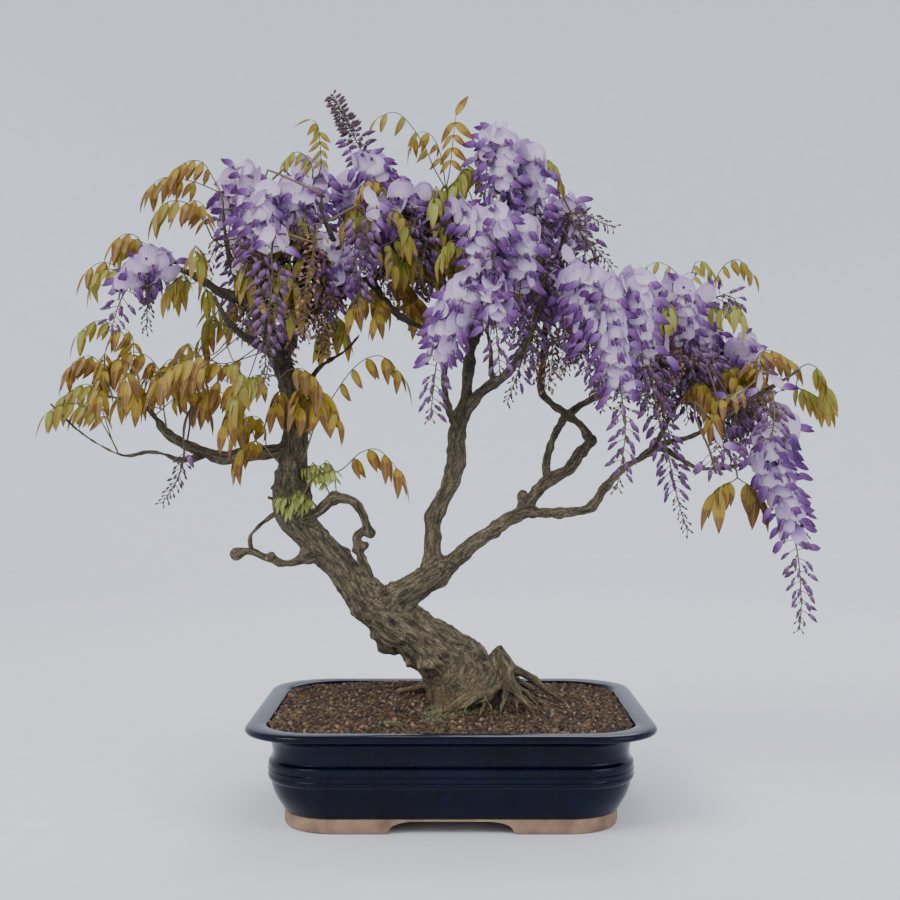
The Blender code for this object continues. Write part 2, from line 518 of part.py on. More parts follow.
def open_flower(root, outward, upward, size):
    """A stalk, a round standard petal leaning back and the keel in front of it.

    Each point is (side, up, out) in parts of the flower's size.
    """
    standard = [(-0.24, -0.2, 0.5), (-0.5, 0.24, 0.5), (0.0, 0.62, 0.36), (0.5, 0.24, 0.5),
                (0.24, -0.2, 0.5)]
    keel_root = [(-0.16, 0.06, 0.6), (0.16, 0.06, 0.6), (0.0, -0.16, 0.6)]
    stalk_end = [(-0.06, 0.04, 0.42), (0.06, 0.04, 0.42), (0.0, -0.07, 0.42)]
    tips = [(0.0, -0.34, 0.98), (0.0, 0.0, 0.0)]
    side = upward.cross(outward).normalized()
    lift = outward.cross(side).normalized()
    points = []
    for across, up, out in standard + keel_root + stalk_end + tips:
        points.append(root + (side * across + lift * up + outward * out) * size)
    front = [(1, 0, 5), (2, 1, 5), (2, 5, 6), (3, 2, 6), (4, 3, 6), (4, 6, 7), (0, 4, 7), (0, 7, 5)]
    back = [(0, 1, 8), (1, 2, 8), (2, 9, 8), (2, 3, 9), (3, 4, 9), (4, 10, 9), (4, 0, 10),
            (0, 8, 10)]
    keel = [(5, 7, 11), (7, 6, 11), (6, 5, 11)]
    stalk = [(8, 9, 12), (9, 10, 12), (10, 8, 12)]
    return facing_out(points, front + back + keel + stalk)


# Joining and clearance


class Neighbours:
    """What already stands, kept as search trees with their boxes."""

    def __init__(self):
        self.kept = []

    def add(self, points, faces):
        low = Vector([min(point[axis] for point in points) for axis in range(3)])
        high = Vector([max(point[axis] for point in points) for axis in range(3)])
        self.kept.append((low, high, BVHTree.FromPolygons(points, faces)))

    def touch(self, shape, margin):
        points, faces = swollen(shape, margin)
        low = [min(point[axis] for point in points) for axis in range(3)]
        high = [max(point[axis] for point in points) for axis in range(3)]
        tree = None
        for kept_low, kept_high, kept in self.kept:
            if any(low[axis] > kept_high[axis] or high[axis] < kept_low[axis] for axis in range(3)):
                continue
            if tree is None:
                tree = BVHTree.FromPolygons(points, faces)
            if tree.overlap(kept):
                return True
        return False


def crosses_itself(shape):
    """True if faces that share no corner cross, however the faces are split into triangles."""
    points, faces = shape
    for turn in (0, 1):
        split = []
        for face in faces:
            turned = face[turn:] + face[:turn]
            for step in range(1, len(turned) - 1):
                split.append((turned[0], turned[step], turned[step + 1]))
        tree = BVHTree.FromPolygons(points, split)
        if any(not set(split[one]) & set(split[other]) for one, other in tree.overlap(tree)):
            return True
    return False


def add_object(name, shape, collection):
    points, faces = shape
    mesh = bpy.data.meshes.new(name)
    mesh.from_pydata(points, [], faces)
    made = bpy.data.objects.new(name, mesh)
    collection.objects.link(made)
    return made


def combine(name, first, others, operation):
    """Apply one Boolean between a shape and a collection of shapes, as a mesh."""
    scene_collection = bpy.context.scene.collection
    base = add_object(name, first, scene_collection)
    tools = bpy.data.collections.new(name + "_tools")
    scene_collection.children.link(tools)
    for index, shape in enumerate(others):
        add_object(f"{name}_tool_{index}", shape, tools)
    joining = base.modifiers.new("Join", "BOOLEAN")
    joining.operation = operation
    joining.operand_type = "COLLECTION"
    joining.collection = tools
    joining.solver = "MANIFOLD"
    depsgraph = bpy.context.evaluated_depsgraph_get()
    mesh = bpy.data.meshes.new_from_object(base.evaluated_get(depsgraph))
    for tool in list(tools.objects):
        bpy.data.objects.remove(tool)
    bpy.data.collections.remove(tools)
    bpy.data.objects.remove(base)
    return mesh


def shell_of(start, seen_faces):
    shell = []
    waiting = [start]
    seen_faces.add(start)
    while waiting:
        face = waiting.pop()
        shell.append(face)
        for edge in face.edges:
            for neighbour in edge.link_faces if len(edge.link_faces) == 2 else ():
                if neighbour not in seen_faces:
                    seen_faces.add(neighbour)
                    waiting.append(neighbour)
    return shell


def keep_largest_shell(mesh):
    """Drop loose scraps and fill sealed hollows by keeping only the outermost shell."""
    bm = bmesh.new()
    bm.from_mesh(mesh)
    bmesh.ops.triangulate(bm, faces=bm.faces)
    seen_faces = set()
    shells = [shell_of(face, seen_faces) for face in list(bm.faces) if face not in seen_faces]
    largest = max(shells, key=len)
    for shell in shells:
        if shell is not largest:
            bmesh.ops.delete(bm, geom=shell, context="FACES")
    loose = [vert for vert in bm.verts if not vert.link_faces]
    bmesh.ops.delete(bm, geom=loose, context="VERTS")
    bm.to_mesh(mesh)
    bm.free()


def finish_node(name, mesh, finish):
    keep_largest_shell(mesh)
    mesh.name = name
    mesh.materials.clear()
    mesh.materials.append(finish)
    for face in mesh.polygons:
        face.material_index = 0
    node = bpy.data.objects.new(name, mesh)
    bpy.context.scene.collection.objects.link(node)
    return node


def mesh_shape(mesh):
    return [vert.co.copy() for vert in mesh.vertices], [tuple(face.vertices) for face in mesh.polygons]


# Pot


def outline(half_length, height):
    """A level rounded rectangle: the depth and the corners follow from the half-length."""
    half_depth = half_length - (RIM_LENGTH - RIM_DEPTH) / 2.0
    corner = half_length * CORNER_SHARE
    points = []
    for quarter, (sign_x, sign_y) in enumerate([(1, 1), (-1, 1), (-1, -1), (1, -1)]):
        for step in range(CORNER_STEPS + 1):
            angle = math.radians(90.0 * (quarter + step / CORNER_STEPS))
            x = sign_x * (half_length - corner) + corner * math.cos(angle)
            y = sign_y * (half_depth - corner) + corner * math.sin(angle)
            points.append(Vector((x, y, height)))
    return points


def loft(rings):
    """Close a stack of level outlines with one face below and one above."""
    count = len(rings[0])
    points = [point for ring in rings for point in ring]
    faces = [tuple(range(count)), tuple(range(len(points) - 1, len(points) - count - 1, -1))]
    for level in range(len(rings) - 1):
        low = level * count
        for step in range(count):
            after = (step + 1) % count
            faces.append((low + after, low + step, low + count + step, low + count + after))
    return facing_out(points, faces)


def profile_rings(profile, inset=0.0):
    return [outline(half * MM - inset, height * MM) for height, half in profile]


def box(centre, size):
    low = centre - size / 2.0
    high = centre + size / 2.0
    rings = []
    for height in (low.z, high.z):
        rings.append([Vector((x, y, height)) for x, y in
                      ((low.x, low.y), (high.x, low.y), (high.x, high.y), (low.x, high.y))])
    return loft(rings)


def drain_column(side):
    ring = []
    for step in range(DRAIN_SIDES):
        angle = 2.0 * math.pi * step / DRAIN_SIDES
        ring.append(Vector((side * DRAIN_OFFSET + DRAIN_RADIUS * math.cos(angle),
                            DRAIN_RADIUS * math.sin(angle), 0.0)))
    reach = Vector((0.0, 0.0, FLOOR_TOP + 5 * MM))
    return loft([ring, [point + reach for point in ring]])


def foot_gap(along_x):
    """The recess between two feet, with eased upper corners, cut right through the foot ring."""
    half = (FOOT_GAP_LENGTH if along_x else FOOT_GAP_DEPTH) / 2.0
    height = FOOT_GAP_HEIGHT
    section = [(-half - 6 * MM, -2 * MM), (-half, 4 * MM), (-half + 10 * MM, height * 0.85),
               (-half + 24 * MM, height), (half - 24 * MM, height), (half - 10 * MM, height * 0.85),
               (half, 4 * MM), (half + 6 * MM, -2 * MM)]
    rings = []
    for reach in (-RIM_LENGTH / 2.0, RIM_LENGTH / 2.0):
        if along_x:
            rings.append([Vector((across, reach, up)) for across, up in section])
        else:
            rings.append([Vector((reach, across, up)) for across, up in section])
    return loft(rings)


def make_pot(finish):
    body = loft(profile_rings(BODY_PROFILE + INNER_PROFILE))
    foot = loft(profile_rings(FOOT_PROFILE))
    hollow = loft([outline(FOOT_PROFILE[-1][1] * MM - FOOT_WALL, height)
                   for height in (-5 * MM, FLOOR_UNDERSIDE)])
    feet = mesh_shape(combine("feet", foot, [hollow, foot_gap(True), foot_gap(False)], "DIFFERENCE"))
    joined = mesh_shape(combine("joined", body, [feet], "UNION"))
    mesh = combine("pot", joined, [drain_column(-1), drain_column(1)], "DIFFERENCE")
    node = finish_node("pot", mesh, finish)
    for face in node.data.polygons:
        face.use_smooth = True
    node.data.set_sharp_from_angle(angle=math.radians(35))
    return node


def make_screen(name, side, finish):
    centre = Vector((side * DRAIN_OFFSET, 0.0, FLOOR_TOP + GAP + SCREEN_THICKNESS / 2.0))
    plate = box(centre, Vector((SCREEN_SIZE, SCREEN_SIZE, SCREEN_THICKNESS)))
    pitch = (SCREEN_SIZE - SCREEN_BAR) / SCREEN_HOLES
    opening = Vector((pitch - SCREEN_BAR, pitch - SCREEN_BAR, SCREEN_THICKNESS * 3.0))
    holes = []
    for row in range(SCREEN_HOLES):
        for column in range(SCREEN_HOLES):
            offset = Vector((column - (SCREEN_HOLES - 1) / 2.0, row - (SCREEN_HOLES - 1) / 2.0, 0.0))
            holes.append(box(centre + offset * pitch, opening))
    return finish_node(name, combine(name, plate, holes, "DIFFERENCE"), finish)


# Soil


def soil_height(x, y):
    """Height of the soil's surface before its grain."""
    far_x = (x - MOUND_CENTRE[0]) / MOUND_SPREAD[0]
    far_y = (y - MOUND_CENTRE[1]) / MOUND_SPREAD[1]
    edge = max(abs(x) / (RIM_LENGTH / 2.0), abs(y) / (RIM_DEPTH / 2.0))
    fade = min(1.0, max(0.0, (0.9 - edge) / 0.3))
    return SOIL_EDGE_HEIGHT + MOUND_RISE * math.exp(-far_x ** 2 - far_y ** 2) * fade


def soil_shape(rng):
    rings = profile_rings(list(reversed(INNER_PROFILE))[:-1], inset=GAP * 1.3)
    for point in rings[0]:
        point.z += GAP
    edge = outline(SOIL_EDGE_HALF_LENGTH, SOIL_EDGE_HEIGHT)
    rings.append(edge)
    for share in SOIL_RINGS:
        ring = []
        for point in edge:
            x, y = point.x * share, point.y * share
            ring.append(Vector((x, y, soil_height(x, y) + rng.uniform(-1, 1) * SOIL_ROUGHNESS)))
        rings.append(ring)
    return loft(rings)


def make_soil(planting, finish, rng):
    pockets = []
    for side in (-1, 1):
        depth = SCREEN_THICKNESS + GAP * 3.0
        centre = Vector((side * DRAIN_OFFSET, 0.0, FLOOR_TOP + depth / 2.0))
        width = SCREEN_SIZE + GAP * 2.5
        pockets.append(box(centre, Vector((width, width, depth))))
    holes = [swollen(shape, PLANTING_CLEARANCE) for shape in planting]
    return finish_node("soil", combine("soil", soil_shape(rng), pockets + holes, "DIFFERENCE"), finish)


# Wood


def wood_line(route):
    points = [seen(across, up, depth) for across, up, depth, _ in route]
    radii = []
    for _, _, depth, thickness in route:
        radii.append(thickness * MM / 2.0 * (1.0 + depth * MM / EYE_DISTANCE))
    return points, radii


def root_line(route):
    """A root's route, carried on until its tip is well under the soil."""
    points, radii = wood_line(route)
    onward = points[-1] - points[-2]
    onward.z = 0.0
    tip = points[-1] + onward.normalized() * ROOT_DIVE
    tip.z = min(points[-1].z, soil_height(tip.x, tip.y)) - ROOT_DIVE
    return points + [tip], radii + [radii[-1] * ROOT_TIP_SHARE]


def wood_shapes(rng):
    """Every limb and swelling, and apart from them what stands in the soil."""
    limbs = []
    lines = []
    for _, sides, route in WOOD:
        points, radii = wood_line(route)
        limbs.append(tube(points, radii, sides, BARK_RELIEF, rng))
        lines.append((points, radii))
    for across, up, depth, thickness in BURLS:
        limbs.append(knob(seen(across, up, depth), thickness * MM / 2.0))
    roots = []
    for route in ROOTS:
        points, radii = root_line(route)
        roots.append(tube(points, radii, ROOT_SIDES))
    return limbs, roots, lines


# Sprays of flowers and leafy shoots


def bent(points, count):
    """The same route cut into a number of even steps along a smooth curve through its points."""
    ends = [points[0] * 2.0 - points[1]] + list(points) + [points[-1] * 2.0 - points[-2]]
    lengths = [(b - a).length for a, b in zip(points, points[1:])]
    total = sum(lengths)
    curve = []
    for step in range(count + 1):
        along = total * step / count
        index = 0
        while index < len(lengths) - 1 and along > lengths[index]:
            along -= lengths[index]
            index += 1
        t = min(1.0, along / lengths[index])
        p0, p1, p2, p3 = ends[index:index + 4]
        curve.append(((p1 * 2.0) + (p2 - p0) * t + (p0 * 2.0 - p1 * 5.0 + p2 * 4.0 - p3) * t * t
                      + (p1 * 3.0 - p0 - p2 * 3.0 + p3) * t ** 3) / 2.0)
    return curve


def line_length(points):
    return sum((b - a).length for a, b in zip(points, points[1:]))


def point_at(points, share):
    """The point and direction at a share of a route's length."""
    along = line_length(points) * share
    for a, b in zip(points, points[1:]):
        step = (b - a).length
        if along <= step or b is points[-1]:
            return a.lerp(b, min(1.0, along / step)), (b - a).normalized()
        along -= step
    return points[-1], (points[-1] - points[-2]).normalized()


def wood_points(lines):
    """Points at close steps along the middle of every limb."""
    found = []
    for points, _ in lines:
        for a, b in zip(points, points[1:]):
            for step in range(4):
                found.append(a.lerp(b, step / 4.0))
        found.append(points[-1])
    return found


def seat(route, candidates, wood_tree, neighbours, radius):
    """Where a green stem leaves the wood: off a face of the nearest limb that leaves it clear.

    The route's first points are dropped while they are still within the wood's reach.
    """
    rest = list(route)
    while len(rest) > 1 and wood_tree.find_nearest(rest[0])[3] < SEAT_REACH:
        rest.pop(0)
    ordered = sorted(candidates, key=lambda point: (point - rest[0]).length)
    for middle in ordered[:SEAT_TRIES]:
        towards = middle - rest[0]
        hit, normal, _, distance = wood_tree.ray_cast(rest[0], towards.normalized())
        if hit is None or distance > towards.length:
            continue
        start = hit + normal * GAP
        rise = hit + normal * SEAT_RISE
        stem = tube([start, rise, rest[0]], [radius] * 3, STEM_SIDES)
        if normal.dot(-towards.normalized()) < SEAT_FACING or crosses_itself(stem):
            continue
        if not neighbours.touch(stem, GAP / 2.0):
            return [start, rise], rest
    return None, rest


def shrinking(count, thick, thin):
    return [thick + (thin - thick) * index / max(1, count - 1) for index in range(count)]


def place_turning(make, neighbours, own, first_angle):
    """Try a repeat at one angle after another round its stem until it stands clear."""
    for turn in range(TURNS):
        shape = make(first_angle + TURN_STEP * turn)
        if not neighbours.touch(shape, GAP) and not own.touch(shape, 0.0):
            own.add(*shape)
            return [shape]
    return []


def radial(direction, angle):
    side = across_to(direction)
    return side * math.cos(angle) + direction.cross(side) * math.sin(angle)


def raceme_repeats(style, route, neighbours, own, rng):
    """Open flowers nearest the base, then closed ones, then buds to the tip."""
    open_step, pod_step, bud_step, open_until, pod_until = STYLES[style]
    length = line_length(route)
    along = FLOWERS_FROM * length
    angle = rng.uniform(0.0, 2.0 * math.pi)
    shapes = []
    while along < length:
        share = along / length
        point, direction = point_at(route, share)
        angle += GOLDEN_ANGLE
        ease = 1.0 - FLOWER_SHRINKING * share

        def flower_out(turned):
            return (radial(direction, turned) + Vector((0.0, 0.0, FLOWER_LIFT))).normalized()

        def make_open(turned):
            out = flower_out(turned)
            up = Vector((0.0, 0.0, 1.0)) - out * out.z
            return open_flower(point, out, up.normalized(), FLOWER_SIZE * ease)

        def make_pod(turned):
            out = (radial(direction, turned) + direction * POD_LEAN).normalized()
            return pod(point, out, POD_LENGTH * ease, POD_RADIUS * ease)

        def make_bud(turned):
            out = (radial(direction, turned) + direction * BUD_LEAN).normalized()
            return pod(point, out, BUD_LENGTH * ease, BUD_RADIUS)

        if share < open_until:
            shapes += place_turning(make_open, neighbours, own, angle)
            along += open_step * MM
        elif share < pod_until:
            shapes += place_turning(make_pod, neighbours, own, angle)
            along += pod_step * MM
        else:
            shapes += place_turning(make_bud, neighbours, own, angle)
            along += bud_step * MM
    return shapes


def nearest_on(points, target):
    best = min(range(len(points)), key=lambda index: (points[index] - target).length)
    return points[best]


def stem_clear(points, radii, neighbours):
    stem = tube(points, radii, STEM_SIDES)
    return not neighbours.touch(stem, GAP) and not crosses_itself(stem)


def shifted_clear(points, fixed, radii, neighbours, shake, rng):
    """Nudge the free part of a route until its stem stands clear of its neighbours."""
    for attempt in range(shake, shake + NUDGES):
        reach = attempt * NUDGE_STEP
        nudge = Vector((rng.uniform(-1, 1), rng.uniform(-1, 1), rng.uniform(-0.6, 0.6))) * reach
        moved = []
        for index, point in enumerate(points):
            share = 0.0 if index < fixed else min(1.0, (index - fixed + 1) / 2.0)
            moved.append(point + nudge * share)
        if stem_clear(moved, radii, neighbours):
            return moved
    return None


def spray_pieces(racemes, wood, shake, rng):
    lines, wood_tree, neighbours = wood
    pieces = []
    own = Neighbours()
    first_path = None
    for style, route in racemes:
        given = [seen(*point) for point in route]
        if first_path is None:
            start, given = seat(given, wood_points(lines), wood_tree, neighbours, PEDUNCLE_RADIUS)
            if start is None:
                return []
            path = start + bent(given, RACHIS_STEPS)
            fixed = 2
        else:
            path = [nearest_on(first_path[1:], given[0])] + bent(given, RACHIS_STEPS)
            fixed = 1
        radii = shrinking(len(path), PEDUNCLE_RADIUS, TIP_RADIUS)
        path = shifted_clear(path, fixed, radii, neighbours, shake, rng)
        if path is None:
            continue
        first_path = first_path or path
        pieces.append(tube(path, radii, STEM_SIDES))
        pieces += raceme_repeats(style, path[fixed:], neighbours, own, rng)
    return pieces


def rib_stations(route, pairs):
    """Shares of the rib's length: its foot, both sides of each leaflet pair's foot, and its tip."""
    length = line_length(route)
    foot = LEAFLET_FOOT / length
    shares = [0.0]
    for pair in range(pairs):
        middle = PAIRS_FROM + (PAIRS_TO - PAIRS_FROM) * pair / max(1, pairs - 1)
        shares += [middle - foot / 2.0, middle + foot / 2.0]
    return shares + [1.0]


def blade_points(feet, way, broad, length):
    """The two shoulders and the tip of a leaflet that stands on its foot's four corners."""
    root = sum(feet, Vector()) / len(feet)
    width = length * LEAFLET_WIDTH_SHARE / 2.0
    middle = root + way * length * LEAFLET_SPREAD_AT
    return [middle - broad * width, root + way * length, middle + broad * width]


def blade_faces(low_in, high_in, high_out, low_out, first):
    """Faces of a leaflet on a foot whose corners are near-low, near-high, far-high and far-low."""
    near, tip, far = first, first + 1, first + 2
    return [
        (high_in, near, tip), (high_in, tip, high_out), (high_out, tip, far),
        (low_in, tip, near), (low_in, low_out, tip), (low_out, far, tip),
        (low_in, near, high_in), (low_out, high_out, far),
    ]


def leaf(count, length, route, neighbours, rng):
    """One closed solid: a three-sided rib whose leaflets grow in pairs from its sides."""
    pairs = (count - 1) // 2
    shares = rib_stations(route, pairs)
    roll = rng.uniform(-LEAF_ROLL, LEAF_ROLL)
    points = []
    frames = []
    for share in shares:
        middle, direction = point_at(route, share)
        beside = direction.cross(Vector((0.0, 0.0, 1.0)))
        if beside.length < 0.3 or (frames and beside.dot(frames[-1][1]) < 0.0):
            beside = frames[-1][1] if frames else Vector((1.0, 0.0, 0.0))
        beside = (beside - direction * beside.dot(direction)).normalized()
        lift = beside.cross(direction).normalized()
        frames.append((direction, beside, lift))
        thin = RIB_RADIUS + (TIP_RADIUS - RIB_RADIUS) * share
        for across, up in ((1, -0.6), (0, 1), (-1, -0.6)):
            points.append(middle + beside * across * thin + lift * up * thin)
    own = Neighbours()
    last = len(shares) - 1
    faces = [(0, 1, 2)]
    for index in range(last):
        for corner in range(3):
            low, high = index * 3 + corner, index * 3 + (corner + 1) % 3
            feet = [low, high, high + 3, low + 3]
            grown = None
            if corner < 2 and index % 2 == 1:
                scale = 1.0 - LEAFLET_SHORTENING * (pairs - 1 - index // 2)
                side = 1.0 if corner == 0 else -1.0
                grown = grow_blade(points, feet, frames[index], side, roll, length * scale,
                                   (neighbours, own), rng)
            if grown is None:
                faces.append((feet[0], feet[3], feet[2], feet[1]))
            else:
                faces += blade_faces(*feet, len(points))
                points += grown
    direction, beside, lift = frames[-1]
    feet = [last * 3 + corner for corner in range(3)]
    middle = sum((points[index] for index in feet), Vector()) / 3.0
    ahead = (direction + Vector((0.0, 0.0, -TIP_LEAFLET_FALL))).normalized()
    wide = (beside - ahead * beside.dot(ahead)).normalized() * length * LEAFLET_WIDTH_SHARE / 2.0
    spread = middle + ahead * length * LEAFLET_SPREAD_AT
    end = [spread + wide, middle + ahead * length, spread - wide]
    tip_blade = [points[index] for index in feet] + end
    tip_faces = [(1, 0, 3), (1, 3, 4), (1, 4, 5), (1, 5, 2), (0, 4, 3), (0, 2, 4), (2, 5, 4),
                 (0, 1, 2)]
    if neighbours.touch(facing_out(tip_blade, tip_faces), GAP):
        faces.append(tuple(reversed(feet)))
    else:
        numbers = feet + [len(points) + step for step in range(3)]
        faces += [tuple(numbers[corner] for corner in face) for face in tip_faces[:-1]]
        points += end
    return facing_out(points, faces)


def whole_leaf(count, length, route, neighbours, shake, rng):
    """A leaf whose walls stay clear of one another, with fewer leaflets where it has to be."""
    radii = shrinking(len(route), RIB_RADIUS, TIP_RADIUS)
    for leaflets in range(count, 1, -2):
        for attempt in range(LEAF_TRIES):
            path = shifted_clear(route, 1, radii, neighbours, shake + attempt // 2, rng)
            if path is None:
                return None
            grown = leaf(leaflets, length, path, neighbours, rng)
            if not crosses_itself(grown):
                return grown
    return None


def grow_blade(points, feet, frame, side, roll, length, around, rng):
    """Hang one leaflet from its foot, splayed a little more or less until it stands clear."""
    direction, beside, lift = frame
    neighbours, own = around
    corners = [points[index] for index in feet]
    for attempt in range(LEAFLET_TRIES):
        turned = roll * side + rng.uniform(-1, 1) * LEAFLET_SHIFT * (attempt + 1)
        splay = beside * side * math.cos(turned) + lift * math.sin(turned)
        way = splay * LEAFLET_SPLAY + direction * LEAFLET_FORWARD
        way = (way + Vector((0.0, 0.0, -LEAFLET_FALL))).normalized()
        if way.dot(beside * side) < LEAFLET_LEAST_OUT:
            way = (way + beside * side * LEAFLET_PUSH_OUT).normalized()
        broad = (direction - way * direction.dot(way)).normalized()
        grown = blade_points(corners, way, broad, length)
        clear_of_rib = [corner + way * RIB_RADIUS for corner in corners]
        faces = blade_faces(0, 1, 2, 3, 4) + [(0, 3, 2, 1)]
        if not neighbours.touch(facing_out(corners + grown, faces), GAP):
            shape = facing_out(clear_of_rib + grown, faces)
            if not own.touch(shape, 0.0):
                own.add(*shape)
                return grown
    return None


def shoot_pieces(stem, leaves, wood, shake, rng):
    lines, wood_tree, neighbours = wood
    stem_points = [seen(*point) for point in stem]
    start, stem_points = seat(stem_points, wood_points(lines), wood_tree, neighbours, SHOOT_RADIUS)
    if start is None:
        return []
    stem_path = start + stem_points
    radii = shrinking(len(stem_path), SHOOT_RADIUS, RIB_RADIUS * 1.3)
    stem_path = shifted_clear(stem_path, 2, radii, neighbours, shake, rng)
    if stem_path is None:
        return []
    pieces = [tube(stem_path, radii, STEM_SIDES)]
    for count, length, route in leaves:
        given = [seen(*point) for point in route]
        path = bent([nearest_on(stem_path[2:], given[0])] + given, LEAF_RIB_STEPS)
        grown = whole_leaf(count, length * MM, path, neighbours, shake, rng)
        if grown is not None:
            pieces.append(grown)
    return pieces


def grow_node(name, grow, finish, neighbours):
    """Fuse what grow() gives into one node, grown anew, and moved, where its walls have crossed."""
    for shake in range(SPRAY_TRIES):
        pieces = grow(shake)
        node = finish_node(name, combine(name, pieces[0], pieces[1:], "UNION"), finish)
        if not crosses_itself(mesh_shape(node.data)):
            neighbours.add(*mesh_shape(node.data))
            return node
        bpy.data.objects.remove(node)
    raise ValueError(name + " can't be grown whole")


# The whole plant in its pot


def centre_over_origin(nodes):
    """Move every node so that the bounding box's middle stands over the origin."""
    points = [vert.co for node in nodes for vert in node.data.vertices]
    middle = Vector([(min(point[axis] for point in points) + max(point[axis] for point in points))
                     / 2.0 for axis in range(3)])
    middle.z = min(point.z for point in points)
    for node in nodes:
        for vert in node.data.vertices:
            vert.co -= middle


def main():
    for old in list(bpy.data.objects):
        bpy.data.objects.remove(old)
    rng = random.Random(SEED)
    glaze = material("navy_glaze", (0.006, 0.012, 0.05), 0.12)
    earth = material("soil_grains", (0.15, 0.075, 0.04), 0.95)
    plastic = material("screen_plastic", (0.02, 0.02, 0.022), 0.6)
    bark = material("bark", (0.12, 0.095, 0.06), 0.9)
    bloom = material("lilac_petal", (0.45, 0.36, 0.72), 0.6)
    violet = material("violet_petal", (0.2, 0.12, 0.42), 0.6)
    dry = material("faded_calyx", (0.26, 0.12, 0.09), 0.8)
    leaf_tones = {
        "bronze": material("bronze_leaf", (0.33, 0.2, 0.03), 0.55),
        "olive": material("olive_leaf", (0.27, 0.27, 0.05), 0.55),
        "fresh": material("fresh_leaf", (0.36, 0.45, 0.1), 0.55),
    }

    nodes = [make_pot(glaze)]
    nodes.append(make_screen("drain_screen_left", -1, plastic))
    nodes.append(make_screen("drain_screen_right", 1, plastic))
    limbs, roots, lines = wood_shapes(rng)
    nodes.append(make_soil([limbs[0]] + roots, earth, rng))
    tree = finish_node("tree", combine("tree", limbs[0], limbs[1:] + roots, "UNION"), bark)
    nodes.append(tree)

    neighbours = Neighbours()
    for node in nodes:
        neighbours.add(*mesh_shape(node.data))
    wood = (lines, BVHTree.FromPolygons(*mesh_shape(tree.data)), neighbours)
    petals = {"full": bloom, "upright": bloom, "late": violet, "bud": violet, "faded": dry}
    for name, racemes in RACEMES:
        rng = random.Random(f"{SEED} {name}")
        nodes.append(grow_node("raceme_" + name,
                               lambda shake: spray_pieces(racemes, wood, shake, rng),
                               petals[racemes[0][0]], neighbours))
    for name, tone, stem, leaves in SHOOTS:
        rng = random.Random(f"{SEED} {name}")
        nodes.append(grow_node("leaves_" + name,
                               lambda shake: shoot_pieces(stem, leaves, wood, shake, rng),
                               leaf_tones[tone], neighbours))
    centre_over_origin(nodes)


main()
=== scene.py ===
"""Looks of a flowering wisteria bonsai in its pot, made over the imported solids.

The routes below are in mm, as a ruler in the trunk's plane reads them from the camera: across
from the pot's middle, up from the table, and the depth behind that plane.
"""
import math
import random
from itertools import combinations

import bmesh
import bpy
import numpy as np
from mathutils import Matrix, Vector, noise
from mathutils.bvhtree import BVHTree
from mathutils.kdtree import KDTree


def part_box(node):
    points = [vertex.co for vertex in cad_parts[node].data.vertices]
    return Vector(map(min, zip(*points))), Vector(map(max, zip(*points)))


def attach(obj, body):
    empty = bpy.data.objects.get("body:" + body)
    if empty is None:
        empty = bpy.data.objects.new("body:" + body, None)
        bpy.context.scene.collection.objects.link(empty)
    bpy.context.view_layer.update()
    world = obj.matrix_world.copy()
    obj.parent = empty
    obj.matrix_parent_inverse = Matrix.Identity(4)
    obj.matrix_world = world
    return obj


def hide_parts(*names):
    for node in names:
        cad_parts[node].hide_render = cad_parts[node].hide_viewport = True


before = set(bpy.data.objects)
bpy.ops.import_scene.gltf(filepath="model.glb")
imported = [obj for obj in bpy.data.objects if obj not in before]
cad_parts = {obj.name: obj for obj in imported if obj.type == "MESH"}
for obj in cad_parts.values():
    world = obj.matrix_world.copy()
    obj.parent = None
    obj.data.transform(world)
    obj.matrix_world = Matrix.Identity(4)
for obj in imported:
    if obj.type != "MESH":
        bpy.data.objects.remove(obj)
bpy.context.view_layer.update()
MM = 0.001
SEED = 2917

POT_LOW, POT_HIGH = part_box("pot")
PLANT_ORIGIN = Vector(((POT_LOW[0] + POT_HIGH[0]) / 2, (POT_LOW[1] + POT_HIGH[1]) / 2, POT_LOW[2]))
RIM_LENGTH = POT_HIGH[0] - POT_LOW[0]
RIM_DEPTH = POT_HIGH[1] - POT_LOW[1]
EYE_DISTANCE = 1425 * MM
EYE_HEIGHT = 366 * MM
EYE_ACROSS = -1 * MM
LENS_MM = 54.56

